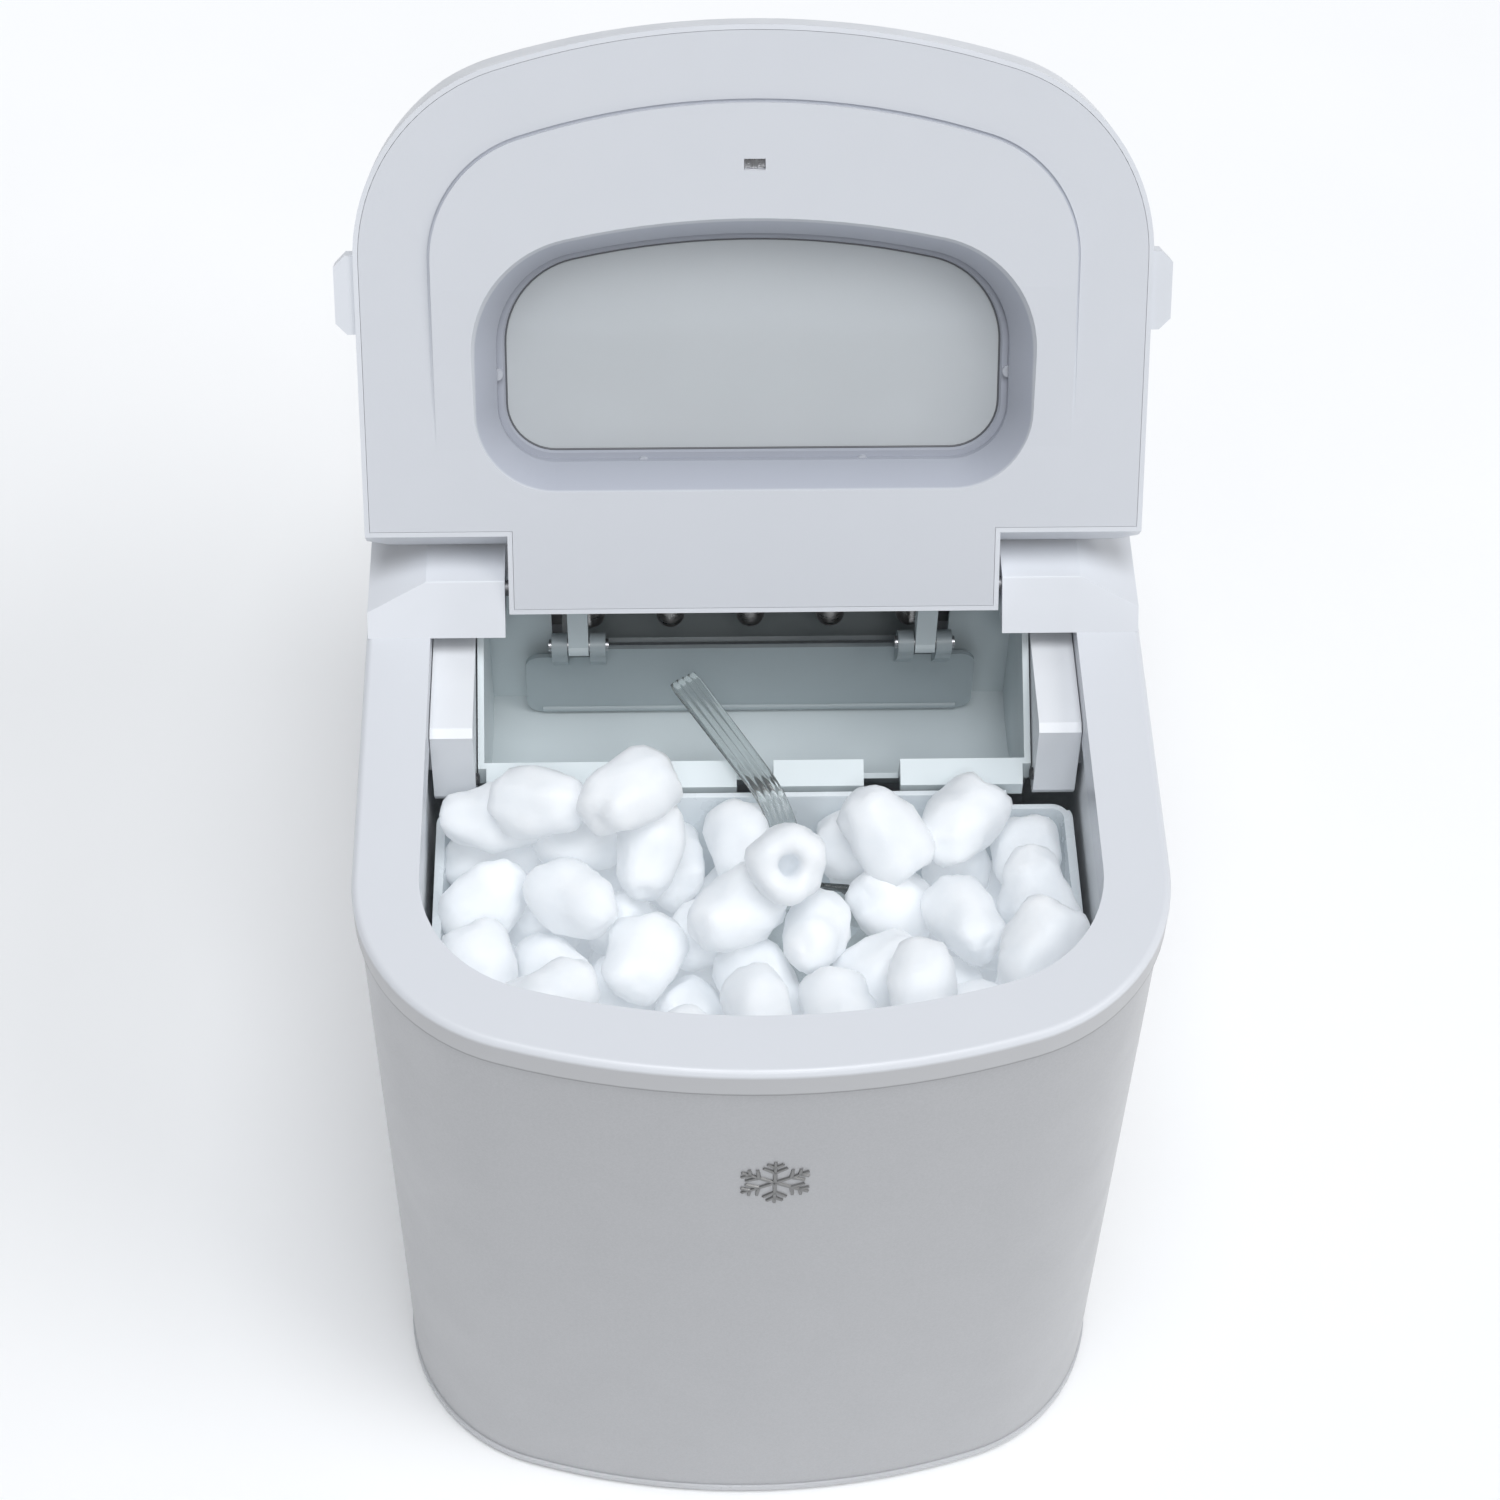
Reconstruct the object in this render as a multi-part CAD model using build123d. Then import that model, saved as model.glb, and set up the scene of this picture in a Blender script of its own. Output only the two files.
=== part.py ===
from build123d import *
import math
import os

# Countertop ice maker with its lid open. Millimetres, +X to the right, -Y to the front, +Z up.
# The origin is at the bottom centre of the cabinet, on the surface that the feet stand on.

# Cabinet outline, seen from above: straight sides, a bowed front and rounded rear corners
HALF_WIDTH = 121.0
FRONT_Y = -179.0
REAR_Y = 179.0
TURN_Y = -108.0
FRONT_CORNER_RADIUS = 62.0
REAR_CORNER_RADIUS = 22.0

# Heights
SHELL_BOTTOM_Z = 5.2
SHELL_TOP_Z = 258.8
RIM_Z = 270.0
RIM_BAND = 11.0
SHOULDER_Z = 283.0
SHOULDER_EDGE_Z = 275.8
SHOULDER_FLAT_X = 102.0
CONSOLE_TOP_Z = 328.0

# Cabinet walls
SHELL_INSET = 1.3
SHELL_WALL = 2.8
SHELL_SPLIT_Y = -60.0
JOINT_GAP = 0.3
BASE_Z = 2.5
BASE_WALL = 2.0
RIM_WIDTH = 20.0
RIM_PLATE = 3.0
LIP_WALL = 1.6
LIP_DEPTH = 14.0

# Feet
FOOT_RADIUS = 10.0
FOOT_HEIGHT = 7.5
FOOT_X = 84.0
FOOT_YS = (-112.0, 148.0)

# Rear panel, fan opening and inlet
PANEL_HALF_WIDTH = 97.0
FAN_X = 54.0
FAN_Z = 90.0
FAN_RADIUS = 46.0
FAN_GUARD_BAR = 2.6
GLAND_X = -84.0
GLAND_Z = 34.0
GLAND_RADIUS = 7.0

# Rear housing
RAMP_Y = -17.0
RIDGE_Y = -5.2
HOUSING_WALL = 3.0
SHOULDER_INNER_X = 77.6
SLOPE_START_Y = 22.0
SLOPE_END_Y = 84.0
SLOPE_END_Z = 321.0
POCKET_Y = 6.2

# Lid hinge and lid
HINGE_Y = -3.2
HINGE_Z = 277.7
BARREL_RADIUS = 7.5
OPEN_ANGLE = 120.5
PIN_RADIUS = 2.5
PIN_CLEARANCE = 0.06
TONGUE_HALF_WIDTH = 76.2
LID_INSET = 1.0
LID_WALL = 2.5
LID_SIDE_REAR_Y = -22.4
LID_CROWN_Z = 300.5
PLUG_HALF_WIDTH = 97.0
PLUG_FRONT_Y = -155.5
PLUG_HEIGHT = 1.8
PLUG_CORNER_RADIUS = 38.5
PLUG_GROOVE = 0.9
PLUG_GROOVE_DEPTH = 0.7
PANEL_THICKNESS = 2.2
LID_RIM = 1.5
TONGUE_END_Y = 3.0

# Window in the lid
WINDOW_HALF_WIDTH = 76.0
WINDOW_REAR_Y = -45.4
WINDOW_FRONT_Y = -111.3
WINDOW_TURN_Y = -79.0
WINDOW_FRONT_CORNER = 27.0
WINDOW_REAR_CORNER = 15.0
WINDOW_LEDGE = 2.6
WINDOW_LEDGE_DEPTH = 1.4
RECESS_SPREAD = 9.0
RECESS_DEPTH = 16.5
PANE_THICKNESS = 2.2

# Water tub
TUB_INSET = 16.2
TUB_WALL = 2.0
TUB_BOTTOM_Z = 80.0
TUB_TOP_Z = 264.0
TUB_REAR_Y = 50.0
SHELF_Z = 198.0
SHELF_REAR_Y = 86.0
POST_RADIUS = 5.0
POST_X = 66.0
POST_YS = (-118.0, -72.0)
DRAIN_Y = -40.0
DRAIN_Z = 92.0
DRAIN_RADIUS = 6.0
PUMP_X = 72.0
PUMP_Z = 94.0

# Ice basket
BASKET_INSET = 21.2
BASKET_WALL = 1.8
BASKET_REAR_Y = -52.0
BASKET_BOTTOM_Z = 128.0
BASKET_REAR_TOP_Z = 235.0
BASKET_SIDE_TOP_Z = 228.0
BASKET_DRAFT = 7.0

# Ice trough, shovel and sensor brackets
SHOVEL_Z = 246.0
TROUGH_RADIUS = 43.5
TROUGH_WALL = 2.0
TROUGH_HALF_WIDTH = 87.0
TROUGH_BACK_Y = 13.0
TROUGH_BACK_Z = 224.0
SILL_Z = 240.0
SILL_FRONT_Y = -50.0
SILL_FRONT_Z = 235.4
SILL_HALF_WIDTH = 84.4
SILL_GAP = 11.6
SILL_GAP_XS = (-40.0, 0.0, 40.0)
SHOVEL_HALF_WIDTH = 73.5
SHOVEL_PLATE_Y = 7.3
SHOVEL_THICKNESS = 1.6
SHOVEL_TOP_Z = 232.0
SHOVEL_BOTTOM_Z = 204.2
HANGER_X = 55.6
HANGER_WIDTH = 6.4
LUG_WIDTH = 5.0
BRACKET_INNER_X = 87.5
BRACKET_OUTER_X = 100.7
BRACKET_FRONT_Y = -51.4
BRACKET_TOP_Z = 262.0
BRACKET_BOTTOM_Z = 231.0
SENSOR_Y = -48.2
SENSOR_Z = 238.4

# Evaporator and water tray
FINGER_PITCH = 26.0
FINGER_RADIUS = 4.6
FINGER_TIP_Z = 236.5
FINGER_ROW_YS = (18.0, 40.0)
EVAPORATOR_Z = 262.0
EVAPORATOR_HEIGHT = 12.0
EVAPORATOR_HALF_WIDTH = 64.0
TRAY_PIVOT_Y = 58.0
TRAY_PIVOT_Z = 256.0
TRAY_RADIUS = 51.4
TRAY_WALL = 1.6
TRAY_HALF_WIDTH = 62.0
TRAY_DEPTH = 24.0
TRAY_REAR_Y = 64.0
TRAY_REST_TILT = 53.0

# Refrigeration
COMPRESSOR_X = -60.0
COMPRESSOR_BOLT_X = 38.0
COMPRESSOR_BOLT_Y = 42.0
COMPRESSOR_Y = 104.0
COMPRESSOR_RADIUS = 48.0
COMPRESSOR_BOTTOM_Z = 16.0
COMPRESSOR_TOP_Z = 146.0
CONDENSER_Y = 118.0
CONDENSER_DEPTH = 22.0
CONDENSER_HALF_WIDTH = 50.0
CONDENSER_REACH = 57.5
CONDENSER_BOTTOM_Z = 34.0
CONDENSER_TOP_Z = 146.0
FIN_COUNT = 17
TUBE_RADIUS = 2.4

TUBE_BEND = 5.0
HOSE_Y = 94.0
DRIER_Y = 96.0
FAN_FRONT_Y = 146.0
FAN_SHAFT_RADIUS = 1.5
TRAY_PIN_RADIUS = 2.5

# Control panel on the console's slope, in the slope's own width and height
PANEL_PLATE_WIDTH = 156.0
PANEL_PLATE_DEPTH = 46.0
PANEL_PLATE_THICKNESS = 1.4
BUTTON_XS = (-46.0, 46.0)
BUTTON_V = -6.0
BUTTON_RADIUS = 8.5
LIGHT_XS = (-20.0, -10.0, 0.0, 10.0, 20.0)
LIGHT_V = 4.0
LIGHT_RADIUS = 2.2

# Parts on the main board: left edge, bottom edge, width, height and depth
BOARD_PARTS = (
    (-94.0, 190.0, 18.0, 22.0, 16.0),
    (-70.0, 186.0, 14.0, 14.0, 12.0),
    (-50.0, 188.0, 22.0, 12.0, 8.0),
    (-92.0, 222.0, 30.0, 10.0, 6.0),
    (-52.0, 216.0, 12.0, 20.0, 14.0),
)

# Derived places
LID_BOTTOM_Z = HINGE_Z - BARREL_RADIUS
PANE_TOP_Z = LID_BOTTOM_Z + RECESS_DEPTH + PANE_THICKNESS
MAGNET_Y = -137.3
CLIP_PLACES = ((-34.0, -41.6), (34.0, -41.6), (-78.6, -70.0), (78.6, -70.0))

HINGE_AXIS = Axis((0, HINGE_Y, HINGE_Z), (1, 0, 0))
TRAY_AXIS = Axis((0, TRAY_PIVOT_Y, TRAY_PIVOT_Z), (1, 0, 0))

os.makedirs("parts", exist_ok=True)


def save(name, shape):
    """Write one sub-part, keeping separate solids apart inside its node."""
    solids = shape.solids()
    body = solids[0] if len(solids) == 1 else Compound(children=solids)
    export_step(body, f"parts/{name}.step")


def arched_outline(half_width, rear_y, turn_y, front_y, front_corner, rear_corner):
    """A flat face with a straight rear edge, straight sides and a bowed front of three tangent arcs."""
    corner_x = half_width - front_corner
    depth = turn_y - front_y
    bow = (corner_x**2 + depth**2 - front_corner**2) / (2 * (depth - front_corner))
    bow_y = front_y + bow
    lean = math.atan2(corner_x, bow_y - turn_y)
    joint = (bow * math.sin(lean), bow_y - bow * math.cos(lean))
    half_turn = (math.pi / 2 - lean) / 2
    corner_mid = (
        corner_x + front_corner * math.cos(half_turn),
        turn_y - front_corner * math.sin(half_turn),
    )
    rear_x = half_width - rear_corner
    round_mid = rear_corner * math.sqrt(0.5)
    right = [
        ThreePointArc(joint, corner_mid, (half_width, turn_y)),
        Line((half_width, turn_y), (half_width, rear_y - rear_corner)),
        ThreePointArc(
            (half_width, rear_y - rear_corner),
            (rear_x + round_mid, rear_y - rear_corner + round_mid),
            (rear_x, rear_y),
        ),
    ]
    left = [edge.mirror(Plane.YZ) for edge in right]
    front = ThreePointArc((-joint[0], joint[1]), (0, front_y), joint)
    rear = Line((rear_x, rear_y), (-rear_x, rear_y))
    return make_face([front, *right, rear, *left])


def cabinet_outline(inset):
    """The cabinet's outline, moved inward by a constant distance."""
    return arched_outline(
        HALF_WIDTH - inset,
        REAR_Y - inset,
        TURN_Y,
        FRONT_Y + inset,
        FRONT_CORNER_RADIUS - inset,
        max(REAR_CORNER_RADIUS - inset, 2.0),
    )


def window_outline(spread):
    """The window's outline in the lid, moved outward by a constant distance."""
    return arched_outline(
        WINDOW_HALF_WIDTH + spread,
        WINDOW_REAR_Y + spread,
        WINDOW_TURN_Y,
        WINDOW_FRONT_Y - spread,
        WINDOW_FRONT_CORNER + spread,
        WINDOW_REAR_CORNER + spread,
    )


def slab(face, low, high):
    """A flat face raised into a solid between two heights."""
    return extrude(Pos(0, 0, low) * face, amount=high - low)


def wall_ring(outer_inset, inner_inset, low, high):
    """An upright wall that follows the cabinet's outline."""
    return slab(cabinet_outline(outer_inset), low, high) - slab(cabinet_outline(inner_inset), low, high)


def block(x_low, x_high, y_low, y_high, z_low, z_high):
    """A box given by its limits."""
    centre = Pos((x_low + x_high) / 2, (y_low + y_high) / 2, (z_low + z_high) / 2)
    return centre * Box(x_high - x_low, y_high - y_low, z_high - z_low)


def behind(y):
    """All the space behind a plane across the cabinet."""
    return block(-300, 300, y, 400, -50, 500)


def before(y):
    """All the space in front of a plane across the cabinet."""
    return block(-300, 300, -400, y, -50, 500)


def prism_x(edges, x_low, x_high):
    """A profile drawn as depth and height, carried across the cabinet."""
    return extrude(Plane.YZ.offset(x_low) * make_face(edges), amount=x_high - x_low)


def prism_y(edges, y_low, y_high):
    """A profile drawn as width and height, carried from front to rear."""
    plane = Plane(origin=(0, y_low, 0), x_dir=(1, 0, 0), z_dir=(0, -1, 0))
    return extrude(plane * make_face(edges), amount=-(y_high - y_low))


def closed(*points):
    """A closed polygon."""
    return Polyline(*points, close=True)


def rod_x(x_low, x_high, y, z, radius):
    """A round bar across the cabinet."""
    return Pos((x_low + x_high) / 2, y, z) * Rot(0, 90, 0) * Cylinder(radius, x_high - x_low)


def rod_y(x, y_low, y_high, z, radius):
    """A round bar from front to rear."""
    return Pos(x, (y_low + y_high) / 2, z) * Rot(90, 0, 0) * Cylinder(radius, y_high - y_low)


def rod_z(x, y, z_low, z_high, radius):
    """An upright round bar."""
    return Pos(x, y, (z_low + z_high) / 2) * Cylinder(radius, z_high - z_low)


def both_sides(shape):
    """A piece and its mirror image on the other side of the cabinet."""
    return Compound(children=[*shape.solids(), *mirror(shape, about=Plane.YZ).solids()])


def pipe(points, radii, radius):
    """A bent tube through points, with a bend radius at each inner point."""
    path = FilletPolyline(*points, radius=radii)
    start = Plane(origin=path @ 0, z_dir=path % 0)
    return sweep(start * Circle(radius), path=path)


def open_lid(shape):
    """Turn a lid piece from its closed place to its open one."""
    return shape.rotate(HINGE_AXIS, -OPEN_ANGLE)


# Cabinet


def make_base_pan():
    floor = slab(cabinet_outline(0.6), BASE_Z, SHELL_BOTTOM_Z - 0.2)
    skirt_inset = SHELL_INSET + SHELL_WALL + 0.3
    skirt = wall_ring(skirt_inset, skirt_inset + BASE_WALL, BASE_Z, 18.0)
    pan = floor + skirt
    for x in (-FOOT_X, FOOT_X):
        for y in FOOT_YS:
            pan -= rod_z(x, y, 0, 10.0, 4.0)
    return pan


def make_feet():
    feet = []
    for x in (-FOOT_X, FOOT_X):
        for y in FOOT_YS:
            pad = rod_z(x, y, 0, BASE_Z, FOOT_RADIUS)
            pad = chamfer(pad.edges().sort_by(Axis.Z)[0], 0.8)
            stem = rod_z(x, y, BASE_Z, FOOT_HEIGHT, 3.9)
            feet += (pad + stem).solids()
    return Compound(children=feet)


def shell_ring():
    return wall_ring(SHELL_INSET, SHELL_INSET + SHELL_WALL, SHELL_BOTTOM_Z, SHELL_TOP_Z)


def make_front_shell():
    return shell_ring() & before(SHELL_SPLIT_Y)


def make_side_panel(side):
    rear_part = block(PANEL_HALF_WIDTH + JOINT_GAP, 300, SHELL_SPLIT_Y + JOINT_GAP, 400, 0, 300)
    panel = shell_ring() & rear_part
    for row in range(9):
        z = 40.0 + 9.0 * row
        panel -= block(100, 140, 70, 150, z, z + 4.0)
    if side < 0:
        return mirror(panel, about=Plane.YZ)
    return panel - rod_x(100, 140, DRAIN_Y, DRAIN_Z, DRAIN_RADIUS + 3.0)


def make_rear_panel():
    inner = REAR_Y - SHELL_INSET - SHELL_WALL
    outer = REAR_Y - SHELL_INSET
    panel = block(-PANEL_HALF_WIDTH, PANEL_HALF_WIDTH, inner, outer, SHELL_BOTTOM_Z, SHELL_TOP_Z)
    opening = rod_y(FAN_X, inner - 1, outer + 1, FAN_Z, FAN_RADIUS - 4.0)
    panel -= opening
    for ring_radius in (12.0, 22.0, 32.0):
        ring = rod_y(FAN_X, inner, outer, FAN_Z, ring_radius)
        ring -= rod_y(FAN_X, inner - 1, outer + 1, FAN_Z, ring_radius - FAN_GUARD_BAR)
        panel += ring
    for turn in (0, 45, 90, 135):
        bar = Box(2 * FAN_RADIUS - 6.0, SHELL_WALL, FAN_GUARD_BAR)
        spoke = Pos(FAN_X, (inner + outer) / 2, FAN_Z) * Rot(0, turn, 0) * bar
        panel += spoke
    for row in range(7):
        z = 174.0 + 9.0 * row
        panel -= block(-70, 70, inner - 1, outer + 1, z, z + 4.0)
    return panel - rod_y(GLAND_X, inner - 1, outer + 1, GLAND_Z, GLAND_RADIUS)


def make_cord_gland():
    inner = REAR_Y - SHELL_INSET - SHELL_WALL
    outer = REAR_Y - SHELL_INSET
    body = rod_y(GLAND_X, inner - 6.0, outer, GLAND_Z, GLAND_RADIUS - 0.05)
    flange = rod_y(GLAND_X, outer, REAR_Y, GLAND_Z, GLAND_RADIUS + 3.0)
    nut = rod_y(GLAND_X, inner - 6.0, inner, GLAND_Z, GLAND_RADIUS + 2.5)
    return body + flange + nut - rod_y(GLAND_X, 0, REAR_Y + 5, GLAND_Z, 3.6)


def make_rear_screws():
    outer = REAR_Y - SHELL_INSET
    screws = []
    for x in (-88.0, 88.0):
        for z in (16.0, 132.0, 248.0):
            head = rod_y(x, outer, outer + 1.2, z, 3.6)
            head -= block(x - 2.6, x + 2.6, outer + 0.6, outer + 2, z - 0.5, z + 0.5)
            head -= block(x - 0.5, x + 0.5, outer + 0.6, outer + 2, z - 2.6, z + 2.6)
            screws += head.solids()
    return Compound(children=screws)


def make_top_bezel():
    bottom = RIM_Z - RIM_BAND
    outer = slab(cabinet_outline(0), bottom, RIM_Z)
    outer = fillet(outer.edges().group_by(Axis.Z)[-1], 2.2)
    outer -= slab(cabinet_outline(2.6), bottom - 1, RIM_Z - RIM_PLATE)
    outer -= slab(cabinet_outline(RIM_WIDTH), bottom - 1, RIM_Z + 1)
    lip = wall_ring(RIM_WIDTH - LIP_WALL, RIM_WIDTH, RIM_Z - LIP_DEPTH, RIM_Z - RIM_PLATE)
    lip &= before(SHELF_REAR_Y - 4.0)
    return outer + lip


def housing_form(wall):
    """The rear housing's outer form, or with a wall thickness its hollow inside."""
    base = RIM_Z - (1.0 if wall else 0.0)
    top = CONSOLE_TOP_Z - wall
    shoulder = SHOULDER_Z - wall
    side_profile = closed(
        (RAMP_Y + 2 * wall, base),
        (RIDGE_Y + 1.4 * wall, shoulder - 0.2),
        (RIDGE_Y + 1.4 * wall + 0.3, shoulder),
        (REAR_Y, shoulder),
        (REAR_Y, base),
    )
    front_profile = closed(
        (-HALF_WIDTH + wall, base),
        (-HALF_WIDTH + wall, SHOULDER_EDGE_Z - wall),
        (-SHOULDER_FLAT_X + wall, shoulder),
        (SHOULDER_FLAT_X - wall, shoulder),
        (HALF_WIDTH - wall, SHOULDER_EDGE_Z - wall),
        (HALF_WIDTH - wall, base),
    )
    low = slab(cabinet_outline(0.6 + wall), base, shoulder)
    low &= prism_x(side_profile, -130, 130)
    low &= prism_y(front_profile, -200, 200)
    console_profile = closed(
        (SLOPE_START_Y + 1.6 * wall, base),
        (SLOPE_START_Y + 1.6 * wall, shoulder),
        (SLOPE_END_Y + 0.6 * wall, SLOPE_END_Z - wall),
        (106.0, top - 1.5),
        (128.0, top),
        (158.0, top),
        (170.0 - wall, top - 5.0),
        (REAR_Y - wall - 0.6, top - 20.0),
        (REAR_Y - wall - 0.6, base),
    )
    console_front = closed(
        (-113.0 + wall, base),
        (-108.0 + wall, 300.0),
        (-98.0 + wall, top - 7.0),
        (-86.0, top),
        (86.0, top),
        (98.0 - wall, top - 7.0),
        (108.0 - wall, 300.0),
        (113.0 - wall, base),
    )
    high = slab(cabinet_outline(0.6 + wall), base, top)
    high &= prism_x(console_profile, -130, 130)
    high &= prism_y(console_front, -200, 200)
    return low + high


def console_plane(depth):
    """A plane on the console's slope, sunk below its surface by a depth."""
    rise = SLOPE_END_Z - SHOULDER_Z
    run = SLOPE_END_Y - SLOPE_START_Y
    tilt = math.atan2(rise, run)
    normal = (0, -math.sin(tilt), math.cos(tilt))
    middle_y = (SLOPE_START_Y + SLOPE_END_Y) / 2
    middle_z = (SHOULDER_Z + SLOPE_END_Z) / 2
    origin = (0, middle_y - depth * normal[1], middle_z - depth * normal[2])
    return Plane(origin=origin, x_dir=(1, 0, 0), z_dir=normal)


def on_console(sketch, depth, height):
    """A flat sketch raised from the console's slope."""
    return extrude(console_plane(depth) * sketch, amount=height)


def make_rear_housing():
    inside = SHOULDER_INNER_X + HOUSING_WALL
    pocket = prism_x(
        closed(
            (-60, 200), (POCKET_Y, 200), (POCKET_Y, 276.5), (10.2, SHOULDER_Z + 0.1),
            (10.2, 340), (-60, 340),
        ),
        -SHOULDER_INNER_X,
        SHOULDER_INNER_X,
    )
    front = POCKET_Y + 2.6
    keep = prism_x(
        closed((-60, 200), (front, 200), (front, 275.6), (13.4, SHOULDER_Z + 0.1), (13.4, 340), (-60, 340)),
        -inside,
        inside,
    )
    housing = housing_form(0) - (housing_form(HOUSING_WALL) - keep) - pocket
    housing -= block(-HALF_WIDTH + RIM_WIDTH, HALF_WIDTH - RIM_WIDTH, RAMP_Y - 1, POCKET_Y, 260, RIM_Z)
    for side in (-1, 1):
        boss = rod_x(side * 84 - 5, side * 84 + 5, HINGE_Y, HINGE_Z - 1.2, 5.6)
        boss &= block(-200, 200, -40, 40, RIM_Z, SHOULDER_Z - 0.2)
        under_ramp = closed((RAMP_Y, RIM_Z), (RIDGE_Y, SHOULDER_Z - 0.2), (40, SHOULDER_Z), (40, RIM_Z))
        boss &= prism_x(under_ramp, -120, 120)
        housing += boss
    housing -= rod_x(-SHOULDER_INNER_X - 12, SHOULDER_INNER_X + 12, HINGE_Y, HINGE_Z, PIN_RADIUS)
    for x in BUTTON_XS:
        housing -= on_console(Pos(x, BUTTON_V) * Circle(BUTTON_RADIUS + 0.4), 6.0, 8.0)
    for x in LIGHT_XS:
        housing -= on_console(Pos(x, LIGHT_V) * Circle(LIGHT_RADIUS), 6.0, 8.0)
    return housing


def make_control_panel():
    plate = RectangleRounded(PANEL_PLATE_WIDTH, PANEL_PLATE_DEPTH, 6.0)
    for x in BUTTON_XS:
        plate -= Pos(x, BUTTON_V) * Circle(BUTTON_RADIUS + 0.4)
    for x in LIGHT_XS:
        plate -= Pos(x, LIGHT_V) * Circle(LIGHT_RADIUS)
    return on_console(plate, 0.0, PANEL_PLATE_THICKNESS)


def make_button(index):
    cap = on_console(Pos(BUTTON_XS[index], BUTTON_V) * Circle(BUTTON_RADIUS), 3.4, 6.2)
    cap = fillet(cap.edges().sort_by(Axis((0, 0, 0), console_plane(0).z_dir))[-1], 0.8)
    stem = on_console(Pos(BUTTON_XS[index], BUTTON_V) * Circle(2.4), 6.4, 3.0)
    return cap + stem


def make_indicator_lenses():
    lenses = []
    for x in LIGHT_XS:
        lenses += on_console(Pos(x, LIGHT_V) * Circle(LIGHT_RADIUS), 3.6, 5.4).solids()
    return Compound(children=lenses)


def make_control_board():
    board = on_console(Rectangle(122, 36), 12.0, 1.6)
    for x in BUTTON_XS:
        board += on_console(Pos(x, BUTTON_V) * Rectangle(7, 7), 10.4, 1.6)
    for x in LIGHT_XS:
        board += on_console(Pos(x, LIGHT_V) * Circle(LIGHT_RADIUS), 10.4, 5.0)
    for x in (-56.0, 56.0):
        for v in (-14.0, 14.0):
            board += on_console(Pos(x, v) * Circle(2.6), 12.0, 7.4)
    return board


# Water and ice


def make_water_tub():
    bottom = TUB_BOTTOM_Z
    outer = slab(cabinet_outline(TUB_INSET), bottom, TUB_TOP_Z)
    inner = slab(cabinet_outline(TUB_INSET + TUB_WALL), bottom + TUB_WALL, TUB_TOP_Z + 5)
    high = block(-200, 200, -300, 300, SHELF_Z, 400)
    high_inner = block(-200, 200, -300, 300, SHELF_Z + TUB_WALL, 400)
    tub = (outer & before(TUB_REAR_Y)) + (outer & before(SHELF_REAR_Y) & high)
    tub -= inner & before(TUB_REAR_Y - TUB_WALL)
    tub -= inner & before(SHELF_REAR_Y - TUB_WALL) & high_inner
    for x in (-POST_X, POST_X):
        for y in POST_YS:
            tub += rod_z(x, y, bottom + TUB_WALL - 0.5, BASKET_BOTTOM_Z - JOINT_GAP, POST_RADIUS)
    tub -= rod_x(90, 120, DRAIN_Y, DRAIN_Z, DRAIN_RADIUS - 2.0)
    return tub - rod_y(PUMP_X, 40, 60, PUMP_Z, 3.0)


def make_drain_spout():
    start = HALF_WIDTH - TUB_INSET
    y = DRAIN_Y
    spout = rod_x(start, HALF_WIDTH - 0.6, y, DRAIN_Z, DRAIN_RADIUS)
    flange = rod_x(start, start + 2.0, y, DRAIN_Z, DRAIN_RADIUS + 4.0)
    return spout + flange - rod_x(start - 5, 130, y, DRAIN_Z, DRAIN_RADIUS - 2.0)


def make_drain_cap():
    y = DRAIN_Y
    face = HALF_WIDTH - 0.4
    cap = rod_x(face, face + 4.0, y, DRAIN_Z, DRAIN_RADIUS + 2.0)
    cap = fillet(cap.edges().sort_by(Axis.X)[-1], 1.0)
    plug = rod_x(face - 8.0, face, y, DRAIN_Z, DRAIN_RADIUS - 2.1)
    return cap + plug


def basket_outline(inset):
    """The basket's outline, moved inward by a constant distance."""
    edge = BASKET_INSET + inset
    return arched_outline(
        HALF_WIDTH - edge, BASKET_REAR_Y - inset, TURN_Y, FRONT_Y + edge,
        FRONT_CORNER_RADIUS - edge, max(6.0 - inset, 1.0),
    )


def basket_form(inset, low, high):
    """A tapered basket volume between two heights."""
    foot = Pos(0, 0, low) * basket_outline(BASKET_DRAFT + inset)
    mouth = Pos(0, 0, high) * basket_outline(inset)
    return loft([foot, mouth])


def make_ice_basket():
    top = BASKET_REAR_TOP_Z
    side = BASKET_SIDE_TOP_Z
    basket = basket_form(0, BASKET_BOTTOM_Z, top)
    hollow = basket_form(BASKET_WALL, BASKET_BOTTOM_Z + 0.01, top + 0.01)
    hollow &= block(-200, 200, -300, 300, BASKET_BOTTOM_Z + BASKET_WALL, 400)
    basket -= hollow
    trim = closed((-300, side), (BASKET_REAR_Y + 9, side), (BASKET_REAR_Y + 9, 260), (-300, 260))
    ends = prism_x(trim, -130, -79) + prism_x(trim, 79, 130)
    middle = block(-79, 79, -300, BASKET_REAR_Y - BASKET_WALL - 4.0, side, 260)
    basket -= ends + middle
    rim_outer = slab(basket_outline(-0.4), side - 2.4, side)
    rim = rim_outer - slab(basket_outline(BASKET_WALL + 0.6), side - 3, side + 1)
    rim &= before(BASKET_REAR_Y - 3.0)
    basket += rim
    for row in range(5):
        for column in range(-3, 4):
            y = -140.0 + 18.0 * row
            x = 22.0 * column
            if math.hypot(x * 0.8, (y + 80) * 1.0) < 68:
                basket -= block(x - 7, x + 7, y - 1.6, y + 1.6, BASKET_BOTTOM_Z - 1, BASKET_BOTTOM_Z + 5)
    return basket


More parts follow.
